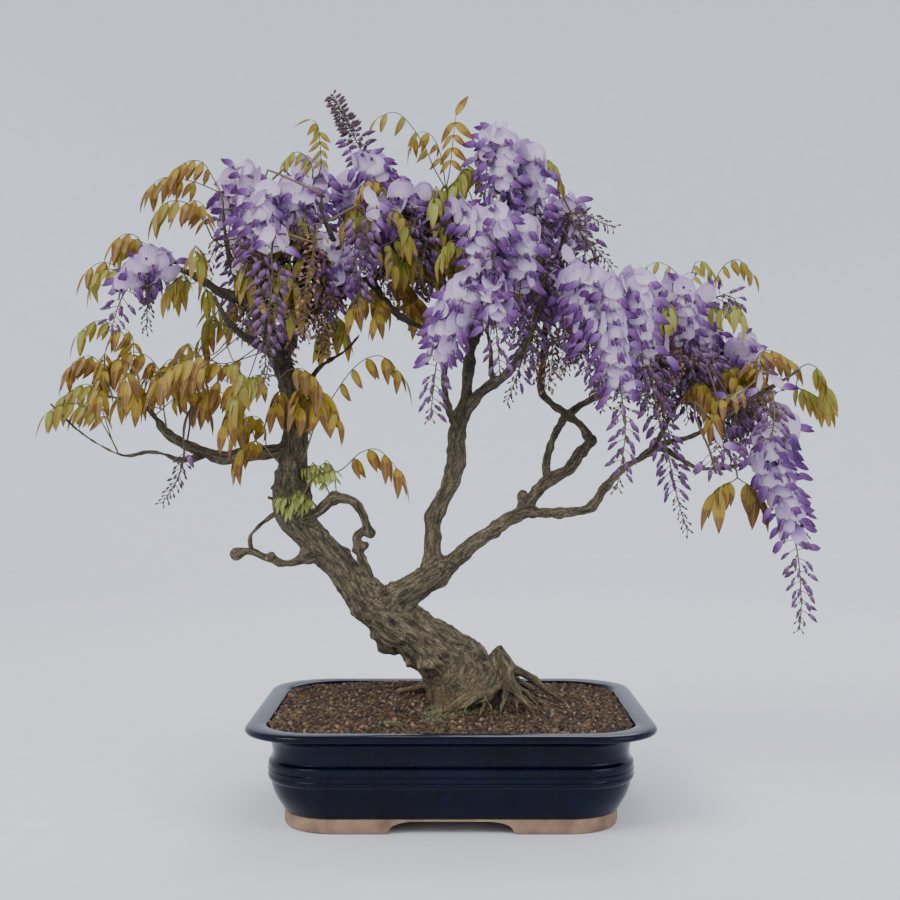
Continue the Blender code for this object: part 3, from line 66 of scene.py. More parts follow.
# Limbs, thick to thin: name, then (across, up, depth, thickness) in mm along the middle.
WOOD = [
    ("trunk", [
        (22, 82, 2, 88), (20, 101, 1, 88), (15, 117, -1, 84), (5, 138, -3, 73), (-9, 152, -5, 64),
        (-26, 166, -6, 55), (-42, 178, -6, 52), (-56, 186, -6, 51), (-71, 198, -6, 49),
        (-85, 209, -8, 45), (-100, 225, -10, 38), (-116, 244, -12, 33), (-132, 260, -14, 32),
        (-146, 276, -14, 34), (-159, 291, -14, 38), (-167, 306, -13, 40), (-168, 323, -12, 37),
        (-167, 341, -10, 32), (-165, 366, -8, 29), (-163, 389, -4, 27), (-165, 413, 0, 25),
        (-169, 434, 4, 22), (-176, 455, 6, 21), (-183, 475, 8, 21), (-196, 500, 8, 18),
        (-213, 521, 4, 13)]),
    ("low_arm", [
        (-71, 200, -6, 40), (-49, 216, -8, 30), (-31, 226, -8, 30), (-14, 236, -9, 28),
        (1, 247, -11, 18)]),
    ("middle_limb", [
        (-20, 232, -8, 27), (-19, 253, -8, 19), (-19, 284, -6, 16), (-18, 296, -4, 20),
        (-11, 311, -2, 18), (-3, 326, 0, 18), (3, 342, 2, 20), (6, 356, 4, 21), (5, 370, 6, 18),
        (6, 385, 8, 18), (11, 404, 10, 18), (16, 423, 14, 13), (19, 452, 22, 13),
        (22, 483, 28, 11.5), (28, 521, 30, 10.5), (42, 560, 26, 9.5), (51, 590, 18, 8.5),
        (60, 617, 6, 7.5), (65, 644, -6, 5), (64, 669, -16, 4)]),
    ("middle_fork", [
        (11, 397, 10, 15), (21, 412, 8, 13), (34, 428, 4, 11.5), (52, 440, -4, 10.5),
        (65, 454, -10, 9.5), (76, 473, -14, 9.5), (86, 498, -16, 8.5), (98, 527, -12, 8.5),
        (110, 556, -4, 7.5), (117, 585, 6, 6.5), (126, 613, 10, 4)]),
    ("fork_spur", [
        (45, 435, 0, 7.5), (42, 449, -2, 6.5), (42, 468, -6, 5), (38, 489, -20, 5),
        (32, 510, -40, 4), (26, 535, -58, 4), (28, 562, -66, 4), (30, 590, -70, 3)]),
    ("right_limb", [
        (-16, 233, -8, 25), (-3, 244, -10, 19), (21, 267, -14, 16), (47, 284, -18, 16),
        (64, 295, -20, 16), (78, 301, -22, 17), (94, 300, -28, 11.5), (119, 301, -36, 10.5),
        (141, 304, -40, 10.5), (152, 312, -43, 10.5), (160, 325, -46, 9.5), (178, 345, -50, 8.5),
        (203, 360, -54, 7.5), (220, 367, -55, 7.5), (241, 355, -55, 6.5), (259, 347, -55, 5),
        (285, 347, -55, 5), (304, 351, -55, 5), (327, 352, -55, 4)]),
    ("right_stub", [
        (76, 300, -22, 13), (74, 311, -22, 9.5), (74, 320, -22, 9.5)]),
    ("knee_limb", [
        (77, 301, -22, 14), (86, 316, -16, 13), (94, 328, -12, 14), (106, 336, -7, 15),
        (123, 346, 0, 14), (134, 362, 6, 11.5), (146, 376, 12, 13)]),
    ("zig_limb", [
        (147, 372, 12, 10.5), (137, 390, 16, 8.5), (121, 403, 20, 9.5), (103, 416, 24, 8.5),
        (94, 429, 24, 8.5), (96, 453, 27, 7.5), (97, 475, 30, 6.5), (101, 504, 34, 6.5),
        (110, 535, 40, 5)]),
    ("cross_limb", [
        (103, 334, -8, 11.5), (100, 345, -6, 9.5), (101, 360, -2, 8.5), (109, 383, 10, 8.5),
        (119, 400, 19, 9.5), (132, 410, 27, 7.5), (161, 427, 34, 7.5), (198, 444, 40, 6.5),
        (220, 468, 52, 5), (239, 496, 62, 5), (254, 523, 64, 4)]),
    ("front_spray_limb", [
        (160, 426, 34, 7.5), (168, 441, 10, 6.5), (175, 462, -22, 6.5), (181, 485, -52, 6.5),
        (183, 508, -76, 5), (177, 531, -90, 4)]),
    ("right_rise", [
        (198, 358, -53, 7.5), (213, 370, -58, 6.5), (250, 380, -66, 6.5), (283, 397, -66, 5),
        (315, 420, -62, 5), (344, 437, -58, 5), (364, 450, -56, 4)]),
    ("right_back_limb", [
        (213, 370, -58, 6.5), (223, 389, -30, 6.5), (235, 410, 2, 5), (250, 429, 34, 5),
        (266, 448, 62, 4), (283, 468, 84, 4)]),
    ("low_left_limb", [
        (-162, 367, -8, 21), (-179, 365, -8, 16), (-198, 363, -4, 14), (-216, 361, 2, 15),
        (-236, 358, 8, 15), (-254, 362, 12, 13), (-271, 369, 16, 13), (-286, 376, 20, 10.5),
        (-299, 386, 23, 9.5), (-308, 399, 26, 7.5), (-321, 413, 26, 5), (-347, 420, 26, 4),
        (-369, 423, 26, 4)]),
    ("low_left_twig", [
        (-258, 362, 14, 9.5), (-270, 357, 8, 7.5), (-285, 356, 2, 6.5), (-299, 361, -4, 5),
        (-317, 364, -8, 5), (-339, 360, -12, 4), (-361, 368, -14, 3), (-390, 387, -16, 3),
        (-419, 415, -18, 2)]),
    ("dead_loop", [
        (-156, 299, -16, 14), (-139, 302, -28, 11.5), (-122, 315, -34, 11.5),
        (-102, 312, -36, 10.5), (-93, 299, -34, 10.5), (-87, 279, -30, 9.5)]),
    ("dead_loop_return", [
        (-88, 284, -30, 8.5), (-97, 277, -28, 9.5), (-99, 269, -28, 9.5), (-93, 252, -24, 10.5),
        (-86, 236, -18, 11.5), (-82, 218, -12, 14)]),
    ("dead_arm", [
        (-135, 259, -14, 15), (-150, 255, -18, 11.5), (-170, 248, -22, 9.5), (-189, 252, -25, 8.5),
        (-207, 260, -28, 8.5), (-224, 259, -30, 11.5)]),
    ("dead_arm_twig", [
        (-208, 259, -28, 6.5), (-210, 274, -29, 5), (-204, 283, -28, 5), (-189, 296, -22, 6.5),
        (-170, 307, -16, 6.5)]),
    ("dead_spike", [
        (-164, 306, -14, 6.5), (-179, 312, -22, 5), (-192, 317, -27, 4)]),
    ("left_limb", [
        (-200, 504, 8, 15), (-213, 521, 2, 14), (-239, 531, -6, 10.5), (-264, 546, -12, 8.5),
        (-281, 554, -16, 6.5), (-296, 558, -20, 4)]),
    ("left_rise", [
        (-214, 522, 2, 8.5), (-225, 548, -6, 7.5), (-233, 575, -14, 6.5), (-237, 600, -18, 4),
        (-238, 617, -20, 3)]),
    ("top_left_limb", [
        (-210, 516, 6, 9.5), (-204, 542, 26, 8.5), (-195, 569, 44, 7.5), (-189, 598, 54, 6.5),
        (-183, 625, 58, 5), (-168, 644, 54, 4)]),
    ("left_front_limb", [
        (-176, 456, 4, 14), (-191, 470, -22, 11.5), (-210, 481, -50, 9.5), (-227, 493, -76, 8.5),
        (-239, 510, -98, 6.5), (-248, 527, -112, 5)]),
    ("left_back_limb", [
        (-177, 458, 8, 14), (-166, 481, 36, 11.5), (-158, 506, 68, 9.5), (-152, 533, 98, 8.5),
        (-147, 562, 122, 6.5), (-141, 590, 136, 5)]),
    ("crown_bridge", [
        (-183, 473, 8, 19), (-168, 491, 4, 14), (-149, 506, -2, 13), (-125, 524, -8, 13),
        (-103, 537, -10, 11.5), (-82, 546, -8, 9.5), (-64, 560, 0, 8.5), (-41, 588, 10, 7.5),
        (-18, 605, 16, 7.5), (15, 617, 14, 6.5), (41, 624, 4, 5)]),
    ("bridge_drop", [
        (-85, 544, -8, 9.5), (-68, 521, -16, 8.5), (-49, 503, -24, 7.5), (-24, 491, -32, 5)]),
    ("bridge_front", [
        (-103, 536, -10, 9.5), (-106, 554, -32, 8.5), (-116, 573, -56, 7.5), (-126, 592, -78, 6.5),
        (-135, 615, -92, 5), (-135, 634, -96, 4)]),
    ("bridge_back", [
        (-66, 558, 0, 7.5), (-70, 577, 28, 6.5), (-74, 596, 56, 6.5), (-78, 615, 84, 5),
        (-83, 631, 104, 4)]),
    ("bridge_rise", [
        (-55, 571, 4, 7.5), (-60, 590, -4, 5), (-65, 608, -8, 5), (-68, 623, -10, 4)]),
    ("right_shoulder", [
        (98, 527, -12, 7.5), (114, 535, -30, 6.5), (129, 550, -48, 6.5), (143, 562, -62, 5),
        (156, 569, -72, 4)]),
    ("middle_back_limb", [
        (21, 468, 24, 9.5), (30, 491, 52, 8.5), (41, 516, 82, 8.5), (53, 544, 110, 7.5),
        (66, 573, 134, 6.5), (74, 600, 148, 4)]),
    ("middle_front_limb", [
        (6, 387, 6, 9.5), (-3, 410, -20, 8.5), (-7, 435, -48, 7.5), (-5, 464, -74, 6.5),
        (1, 493, -96, 5), (9, 523, -110, 4)]),
    ("bud_twig", [
        (-165, 416, 0, 9.5), (-149, 436, 8, 7.5), (-135, 454, 14, 5), (-110, 470, 18, 4),
        (-95, 487, 20, 3)]),
]

# Swellings: across, up, depth, thickness, in mm.
BURLS = [
    (-61, 174, -4, 44), (-15, 240, -9, 36), (-18, 296, -3, 21), (6, 352, 4, 23), (146, 375, 12, 15),
    (-164, 317, -13, 40), (75, 320, -22, 10.5),
    (-224, 258, -30, 15), (-187, 255, -26, 12), (-150, 257, -20, 20), (-85, 280, -30, 12),
    (-90, 266, -28, 11), (-101, 261, -28, 9), (-121, 316, -34, 14),
]

# Surface roots, from the root crown outwards: (across, up, depth, thickness) in mm.
ROOTS = [
    [(45, 155, -18, 21), (59, 141, -26, 15), (61, 127, -36, 8.5), (72, 108, -50, 6.5),
     (87, 88, -62, 4)],
    [(47, 138, -26, 16), (51, 121, -34, 9.5), (28, 106, -44, 8.5), (1, 91, -54, 5)],
    [(37, 144, -26, 16), (42, 134, -32, 9.5), (24, 108, -40, 7.5), (22, 92, -46, 4)],
    [(54, 144, -14, 15), (69, 136, -12, 9.5), (85, 128, -8, 8.5), (101, 114, -2, 6.5),
     (118, 102, 4, 4)],
    [(26, 126, -26, 15), (18, 113, -36, 8.5), (1, 98, -50, 6.5), (-14, 88, -62, 4)],
    [(-11, 124, 2, 15), (-28, 120, 6, 9.5), (-45, 116, 10, 6.5), (-60, 112, 14, 4)],
    [(39, 142, 10, 19), (56, 132, 24, 11.5), (72, 124, 38, 8.5), (89, 113, 52, 5)],
    [(20, 130, 18, 19), (28, 124, 36, 11.5), (37, 119, 54, 8.5), (43, 111, 72, 4)],
    [(-5, 130, 16, 17), (-20, 124, 32, 10.5), (-34, 121, 48, 7.5), (-49, 115, 62, 4)],
    [(48, 151, -24, 14), (45, 138, -32, 7.5), (42, 124, -36, 6.5), (37, 105, -42, 4)],
]

# Flower sprays: name, then each raceme's stage and its (across, up, depth) route in mm.
RACEMES = [
    ("top_left", [
        ("full", [(-223, 650, 40), (-229, 622, 50), (-232, 590, 52), (-234, 558, 50)])]),
    ("upper_left_pair", [
        ("full", [(-198, 659, -70), (-195, 623, -76), (-198, 579, -78), (-201, 531, -76)]),
        ("full", [(-168, 662, -50), (-165, 627, -58), (-167, 588, -60), (-170, 544, -58)])]),
    ("upper_left_back", [
        ("full", [(-145, 658, 70), (-141, 621, 74), (-143, 585, 76), (-147, 552, 76)])]),
    ("left_inner_pair", [
        ("late", [(-214, 590, 70), (-220, 562, 76), (-226, 535, 78), (-229, 506, 78)]),
        ("faded", [(-239, 590, 96), (-248, 573, 104), (-254, 556, 106), (-258, 533, 106)])]),
    ("left_front_pair", [
        ("faded", [(-139, 600, -96), (-145, 569, -104), (-152, 533, -104), (-154, 487, -100)]),
        ("late", [(-183, 590, -100), (-187, 544, -104), (-191, 496, -104), (-196, 435, -100)])]),
    ("bridge_left", [
        ("full", [(-114, 604, -40), (-116, 571, -48), (-120, 539, -50), (-123, 504, -48)])]),
    ("bridge_middle", [
        ("late", [(-93, 621, -84), (-93, 585, -90), (-95, 552, -90), (-98, 516, -88)])]),
    ("bridge_right", [
        ("full", [(-57, 600, 92), (-52, 567, 100), (-44, 531, 100), (-40, 491, 96)])]),
    ("bridge_back_fall", [
        ("full", [(-26, 615, 60), (-28, 581, 66), (-32, 550, 68), (-36, 519, 66)])]),
    ("inner_back", [
        ("full", [(-110, 644, 110), (-106, 615, 116), (-103, 585, 118), (-103, 556, 118)])]),
    ("upright", [
        ("upright", [(-69, 631, -10), (-80, 657, -12), (-95, 682, -12), (-110, 711, -10),
            (-123, 735, -8)])]),
    ("far_left", [
        ("full", [(-304, 558, -30), (-326, 548, -36), (-344, 525, -38), (-356, 489, -36)]),
        ("bud", [(-315, 548, -33), (-317, 523, -40), (-318, 491, -42)])]),
    ("low_left_fall", [
        ("bud", [(-269, 416, -10), (-279, 391, -20), (-279, 360, -24), (-286, 335, -24),
            (-302, 310, -22)])]),
    ("crown_top_pair", [
        ("full", [(55, 690, -50), (54, 657, -58), (51, 619, -60), (48, 575, -58)]),
        ("full", [(80, 673, -20), (87, 638, -26), (88, 600, -28), (86, 556, -26)])]),
    ("crown_right_edge", [
        ("full", [(110, 644, 56), (117, 615, 64), (124, 579, 66), (126, 539, 64)])]),
    ("crown_front_pair", [
        ("full", [(37, 604, -104), (32, 571, -112), (27, 535, -112), (22, 491, -108)]),
        ("full", [(72, 598, -90), (74, 562, -96), (71, 525, -96), (66, 479, -92)])]),
    ("crown_back", [
        ("full", [(91, 621, 120), (95, 585, 124), (96, 550, 126), (94, 510, 124)])]),
    ("crown_inner", [
        ("late", [(137, 594, 104), (139, 565, 110), (135, 533, 110), (129, 500, 106)])]),
    ("middle_low_pair", [
        ("full", [(7, 529, -120), (-3, 500, -128), (-14, 464, -128), (-22, 397, -120)]),
        ("full", [(41, 542, -100), (45, 508, -136), (49, 477, -138), (51, 443, -134)])]),
    ("middle_low_right", [
        ("late", [(101, 558, -60), (95, 521, -70), (80, 475, -72), (59, 416, -66)])]),
    ("middle_inner", [
        ("faded", [(120, 542, -44), (122, 508, -50), (118, 475, -50), (112, 441, -48)])]),
    ("side_buds", [
        ("bud", [(120, 613, -10), (139, 612, -22), (156, 604, -26), (172, 598, -28)]),
        ("bud", [(124, 606, -12), (143, 585, -26), (156, 571, -28), (168, 556, -28)])]),
    ("right_shoulder_front_pair", [
        ("full", [(139, 546, -90), (141, 510, -98), (143, 473, -98), (147, 422, -94)]),
        ("full", [(164, 548, -110), (168, 500, -120), (173, 452, -122), (182, 387, -118),
            (173, 325, -110)])]),
    ("right_shoulder_middle_pair", [
        ("full", [(198, 539, -100), (198, 502, -108), (200, 464, -108), (203, 416, -104)]),
        ("late", [(206, 481, -60), (213, 418, -72), (226, 364, -76), (237, 314, -76),
            (247, 281, -72)])]),
    ("right_shoulder_right", [
        ("full", [(227, 531, 20), (232, 496, 14), (239, 456, 12), (248, 397, 14)])]),
    ("right_twig_pair", [
        ("full", [(258, 500, 76), (262, 470, 82), (262, 439, 84), (258, 404, 82)]),
        ("late", [(273, 523, 60), (283, 527, 48), (295, 525, 40), (303, 510, 38)])]),
    ("right_arm_front_pair", [
        ("late", [(264, 464, -80), (275, 431, -90), (284, 397, -92), (293, 353, -88)]),
        ("late", [(250, 420, -110), (258, 393, -116), (269, 368, -116), (277, 341, -112)])]),
    ("right_arm_top", [
        ("full", [(300, 470, 70), (306, 443, 74), (310, 414, 74), (304, 376, 70)])]),
    ("right_arm_end", [
        ("late", [(335, 427, -66), (338, 406, -76), (335, 383, -78), (325, 353, -76)])]),
    ("far_right_fall", [
        ("full", [(339, 393, -62), (330, 358, -66), (345, 320, -68), (355, 289, -68),
            (363, 251, -68), (366, 205, -66), (364, 178, -64)])]),
]

# Leafy shoots: name, the green stem's route, then each leaf's pairs of leaflets, leaflet length
# in mm, tone and rib route beyond the stem.
SHOOTS = [
    ("left_arch", [(-238, 623, -20), (-240, 634, -22)], [
        (4, 28, "bronze", [(-249, 651, -26), (-259, 666, -28), (-273, 668, -30), (-289, 659, -32)]),
        (3, 27, "bronze", [(-262, 644, -12), (-285, 650, -6), (-302, 650, -2), (-315, 640, 0)])]),
    ("left_upper", [(-239, 579, -24), (-250, 588, -40)], [
        (4, 28, "olive", [(-262, 613, -50), (-279, 625, -54), (-296, 625, -56), (-308, 613, -56)]),
        (4, 26, "bronze", [(-256, 604, -64), (-258, 621, -78), (-269, 627, -84), (-281, 621, -88)])]),
    ("left_middle", [(-292, 557, -20), (-304, 562, -14)], [
        (4, 22, "young", [(-314, 577, -4), (-327, 585, 4), (-340, 585, 8), (-350, 575, 10)]),
        (3, 28, "bronze", [(-319, 573, -24), (-327, 588, -30), (-338, 592, -34), (-350, 586, -36)])]),
    ("left_edge", [(-296, 552, -22), (-315, 535, -6)], [
        (4, 22, "young", [(-340, 549, 6), (-356, 555, 12), (-369, 551, 14), (-376, 537, 14)]),
        (3, 26, "bronze", [(-346, 556, 24), (-361, 562, 28), (-371, 560, 30), (-381, 552, 30)])]),
    ("left_low_edge", [(-319, 414, 26), (-327, 441, 30)], [
        (4, 26, "olive", [(-340, 483, 34), (-356, 498, 36), (-373, 500, 36), (-390, 487, 36)]),
        (3, 25, "bronze", [(-331, 464, 14), (-333, 485, 6), (-342, 493, 2), (-352, 487, 0)])]),
    ("low_left_fan", [(-363, 422, 26), (-365, 435, 20)], [
        (4, 28, "bronze", [(-367, 454, 10), (-375, 464, 4), (-388, 462, 0), (-400, 450, -2)]),
        (3, 30, "olive", [(-371, 431, 34), (-381, 435, 38), (-392, 431, 40), (-407, 420, 40)])]),
    ("low_left_shoot", [(-348, 363, -13), (-354, 376, -16)], [
        (4, 26, "olive", [(-371, 404, -20), (-388, 414, -22), (-407, 414, -24), (-423, 404, -24)]),
        (4, 26, "bronze", [(-361, 397, -8), (-367, 414, -2), (-377, 418, 2), (-390, 410, 6)])]),
    ("low_left_rise", [(-296, 383, 22), (-300, 408, 10)], [
        (4, 32, "bronze", [(-304, 445, -4), (-317, 464, -12), (-335, 468, -18), (-354, 458, -22)]),
        (4, 32, "bronze", [(-298, 435, -24), (-292, 454, -34), (-279, 460, -40), (-264, 450, -46)]),
        (3, 30, "olive", [(-315, 414, 20), (-323, 429, 26), (-335, 431, 30), (-348, 420, 34)])]),
    ("left_front_fan", [(-229, 496, -80), (-235, 479, -92)], [
        (4, 36, "bronze", [(-248, 466, -100), (-266, 464, -104), (-285, 456, -106),
            (-304, 441, -108)]),
        (3, 31, "olive", [(-229, 462, -104), (-220, 448, -112), (-220, 431, -116), (-227, 416, -118)])]),
    ("trunk_front_fan", [(-175, 435, -12), (-179, 441, -30)], [
        (4, 40, "olive", [(-191, 445, -44), (-206, 443, -54), (-218, 435, -60), (-227, 420, -62)]),
        (4, 40, "bronze", [(-168, 450, -44), (-154, 450, -54), (-141, 439, -60), (-135, 422, -62)])]),
    ("trunk_low_fan", [(-177, 351, -16), (-185, 358, -24)], [
        (4, 29, "bronze", [(-195, 370, -30), (-206, 375, -34), (-216, 370, -38), (-223, 358, -40)])]),
    ("trunk_right_arch", [(-156, 353, -16), (-144, 387, -26)], [
        (4, 28, "bronze", [(-125, 419, -32), (-104, 449, -36), (-85, 463, -38), (-68, 462, -40),
            (-49, 441, -42)])]),
    ("trunk_right_low", [(-154, 335, -18), (-137, 340, -28)], [
        (3, 30, "bronze", [(-115, 345, -34), (-95, 363, -38), (-78, 367, -40), (-66, 358, -42),
            (-52, 341, -44)])]),
    ("trunk_fresh", [(-156, 322, -26), (-149, 330, -40)], [
        (3, 13, "fresh", [(-143, 337, -44), (-134, 342, -46), (-123, 345, -48)]),
        (2, 13, "fresh", [(-154, 320, -46), (-164, 316, -50), (-175, 316, -52)])]),
    ("top_left_leaves", [(-158, 631, 50), (-145, 642, 44)], [
        (4, 20, "olive", [(-136, 661, 40), (-137, 688, 38), (-139, 705, 38), (-145, 711, 38)]),
        (4, 18, "young", [(-145, 661, 30), (-154, 675, 26), (-164, 677, 24), (-173, 669, 22)])]),
    ("top_leaves", [(-3, 613, 14), (-5, 638, 10)], [
        (3, 21, "olive", [(-18, 661, 6), (-28, 684, 2), (-45, 709, 0), (-60, 719, -2),
            (-76, 713, -4)]),
        (3, 21, "bronze", [(-11, 675, 22), (-20, 694, 26), (-32, 698, 28), (-41, 686, 30)]),
        (3, 24, "bronze", [(-1, 661, 8), (2, 688, 8), (5, 715, 8)]),
        (4, 20, "young", [(7, 650, -6), (16, 663, -12), (24, 659, -16), (30, 648, -18)])]),
    ("bridge_front_leaves", [(-66, 604, -14), (-68, 615, -34)], [
        (4, 22, "bronze", [(-70, 638, -44), (-80, 648, -50), (-91, 644, -54), (-97, 631, -56)]),
        (4, 24, "olive", [(-62, 617, -62), (-53, 613, -72), (-47, 600, -76), (-45, 585, -78)])]),
    ("bridge_low_leaves", [(-122, 521, 24), (-116, 525, 40)], [
        (5, 27, "olive", [(-106, 533, 52), (-89, 535, 58), (-76, 529, 62), (-68, 516, 64)]),
        (3, 24, "young", [(-124, 504, 54), (-133, 491, 60), (-135, 475, 62)])]),
    ("middle_front_leaves", [(28, 544, -72), (24, 556, -90)], [
        (4, 26, "olive", [(14, 577, -100), (3, 585, -106), (-5, 581, -110), (-11, 569, -112)])]),
    ("crown_side_leaves", [(64, 659, -4), (74, 661, 10)], [
        (4, 22, "olive", [(89, 667, 18), (101, 669, 22), (110, 661, 26), (115, 646, 28)]),
        (3, 20, "young", [(57, 682, 24), (45, 688, 32), (32, 684, 36)])]),
    ("right_twig_leaves", [(248, 512, 64), (256, 525, 60)], [
        (4, 21, "olive", [(272, 538, 56), (285, 558, 54), (300, 565, 52), (315, 550, 52)]),
        (3, 19, "young", [(243, 542, 64), (229, 557, 66), (214, 562, 68), (200, 554, 70)]),
        (3, 19, "young", [(252, 548, 70), (256, 562, 74), (266, 562, 76), (273, 552, 76)])]),
    ("right_end_leaves", [(361, 448, -52), (365, 452, -46)], [
        (4, 28, "olive", [(373, 456, -40), (384, 450, -36), (391, 435, -34), (393, 420, -34)]),
        (4, 27, "olive", [(361, 433, -34), (369, 429, -28), (377, 425, -26), (390, 416, -24)])]),
    ("right_arm_leaves", [(319, 422, -56), (319, 439, -46)], [
        (4, 26, "bronze", [(321, 464, -30), (331, 470, -24), (344, 466, -20), (356, 458, -18)]),
        (3, 24, "bronze", [(300, 425, -80), (287, 422, -96), (277, 412, -100), (273, 397, -102)])]),
    ("right_hanging_leaf", [(298, 345, -60), (299, 337, -66)], [
        (4, 37, "bronze", [(294, 333, -74), (285, 330, -80), (276, 322, -84)]),
        (3, 37, "bronze", [(305, 333, -64), (313, 328, -60), (320, 319, -58)])]),
]


# Placing and small vector work

UP = Vector((0.0, 0.0, 1.0))
DOWN = Vector((0.0, 0.0, -1.0))
TURN = 2.0 * math.pi
CURVE_STEP = 5 * MM


def seen(across, up, depth):
    """A point read in mm from the camera, placed at its depth behind the trunk's plane."""
    spread = 1.0 + depth * MM / EYE_DISTANCE
    height = EYE_HEIGHT + (up * MM - EYE_HEIGHT) * spread
    return PLANT_ORIGIN + Vector((across * MM * spread, depth * MM, height))


def seen_route(route):
    return [seen(*station[:3]) for station in route]


def circle(count):
    """Cosine and sine at even steps round a full turn."""
    angles = [TURN * step / count for step in range(count)]
    return [(math.cos(angle), math.sin(angle)) for angle in angles]


def across_to(direction):
    helper = Vector((0.0, 1.0, 0.0)) if abs(direction.y) < 0.8 else Vector((1.0, 0.0, 0.0))
    return direction.cross(helper).normalized()


def radial(direction, angle):
    side = across_to(direction)
    return side * math.cos(angle) + direction.cross(side) * math.sin(angle)


def curve_through(points, step=CURVE_STEP):
    """A smooth curve through the points, cut into steps of about the given length."""
    ends = [points[0] * 2.0 - points[1]] + list(points) + [points[-1] * 2.0 - points[-2]]
    curve = []
    for index in range(len(points) - 1):
        p0, p1, p2, p3 = ends[index:index + 4]
        count = max(1, round((p2 - p1).length / step))
        for part in range(count):
            t = part / count
            curve.append((p1 * 2.0 + (p2 - p0) * t + (p0 * 2.0 - p1 * 5.0 + p2 * 4.0 - p3) * t * t
                          + (p1 * 3.0 - p0 - p2 * 3.0 + p3) * t ** 3) / 2.0)
    curve.append(points[-1].copy())
    return curve


def run_along(points):
    """The length run from the first point to each point."""
    return np.cumsum([0.0] + [(b - a).length for a, b in zip(points, points[1:])])


def line_length(points):
    return sum((b - a).length for a, b in zip(points, points[1:]))


def point_at(points, share):
    """The point and direction at a share of a route's length."""
    along = line_length(points) * share
    for a, b in zip(points, points[1:]):
        step = (b - a).length
        if along <= step:
            return a.lerp(b, along / step), (b - a).normalized()
        along -= step
    return points[-1].copy(), (points[-1] - points[-2]).normalized()


def frames_along(points):
    """Direction and two directions across it at each point, turning with the route only."""
    steps = [(b - a).normalized() for a, b in zip(points, points[1:])]
    ways = [steps[0]] + [(a + b).normalized() for a, b in zip(steps, steps[1:])] + [steps[-1]]
    side = across_to(ways[0])
    frames = []
    for way in ways:
        side = (side - way * side.dot(way)).normalized()
        frames.append((way, side, way.cross(side)))
    return frames


def taper(path, foot, tip):
    """Radii that change evenly from the first to the last point of a path."""
    return np.interp(np.linspace(0, 1, len(path)), [0, 1], [foot, tip])


def basis_of(side, up, out, size):
    return np.array([side, up, out]).T * size


# Forms: points, triangles, a material slot for each triangle, and (u, v) for each point

TUBE_UV_SCALE = 10.0


class Form:
    def __init__(self, points, triangles, slot, uv):
        self.points = np.array(points, dtype=np.float64)
        self.triangles = np.array(triangles, dtype=np.int32)
        self.slots = np.full(len(triangles), slot, dtype=np.int32)
        self.uv = np.array(uv, dtype=np.float64)


def joined(*forms):
    points = np.concatenate([form.points for form in forms])
    whole = Form(points, np.zeros((1, 3)), 0, np.concatenate([form.uv for form in forms]))
    triangles = []
    start = 0
    for form in forms:
        triangles.append(form.triangles + start)
        start += len(form.points)
    whole.triangles = np.concatenate(triangles)
    whole.slots = np.concatenate([form.slots for form in forms])
    return whole


def quad(a, b, c, d):
    return [(a, b, c), (a, c, d)]


def bands(first, last, count):
    """The corners of each face between rings of so many points, one ring after another."""
    for low in range(first, last, count):
        for step in range(count):
            after = (step + 1) % count
            yield low + step, low + after, low + count + after, low + count + step


def sheet(surface, across, along, slot):
    """A petal or blade: surface(a, b) for a from -1 to 1 across and b from 0 to 1 along."""
    points = []
    uv = []
    for row in range(along + 1):
        for column in range(across + 1):
            a = 2.0 * column / across - 1.0
            b = row / along
            points.append(surface(a, b))
            uv.append(((a + 1.0) / 2.0, b))
    triangles = []
    for row in range(along):
        for column in range(across):
            low = row * (across + 1) + column
            high = low + across + 1
            triangles += quad(low, low + 1, high + 1, high)
    return Form(points, triangles, slot, uv)


def spindle(stations, sides, slot):
    """A closed body round a bent middle line: stations are (middle, radius) from foot to tip."""
    points = [stations[0][0]]
    uv = [(0.5, 0.0)]
    count = len(stations)
    for index in range(1, count - 1):
        (x, y, z), radius = stations[index]
        for step, (cosine, sine) in enumerate(circle(sides)):
            points.append((x + radius * cosine, y + radius * sine, z))
            uv.append((step / sides, index / (count - 1)))
    points.append(stations[-1][0])
    uv.append((0.5, 1.0))
    last = len(points) - 1
    triangles = []
    for step in range(sides):
        after = (step + 1) % sides
        triangles.append((0, 1 + after, 1 + step))
        triangles.append((last, last - sides + step, last - sides + after))
        for low in range(1, last - sides, sides):
            triangles += quad(low + step, low + after, low + sides + after, low + sides + step)
    return Form(points, triangles, slot, uv)


def tube(points, radii, sides, slot):
    """A tube along a route, closed flat at both ends."""
    ring_points = []
    uv = []
    along = 0.0
    for index, (_, side, other) in enumerate(frames_along(points)):
        if index:
            along += (points[index] - points[index - 1]).length
        for step, (cosine, sine) in enumerate(circle(sides)):
            offset = side * cosine + other * sine
            ring_points.append(points[index] + offset * radii[index])
            uv.append((step / sides, along * TUBE_UV_SCALE))
    last = len(ring_points) - sides
    triangles = []
    for corners in bands(0, last, sides):
        triangles += quad(*corners)
    for step in range(1, sides - 1):
        triangles.append((0, step + 1, step))
        triangles.append((last, last + step, last + step + 1))
    return Form(ring_points, triangles, slot, uv)


def placed(name, data):
    """A new object with the given data, linked into the scene."""
    made = bpy.data.objects.new(name, data)
    bpy.context.scene.collection.objects.link(made)
    return made


def dress(piece, material):
    piece.data.materials.clear()
    piece.data.materials.append(material)


def stand_in(piece, slot, *nodes):
    """Put a finished piece on the plant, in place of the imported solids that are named."""
    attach(piece, "root")
    if nodes:
        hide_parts(*nodes)


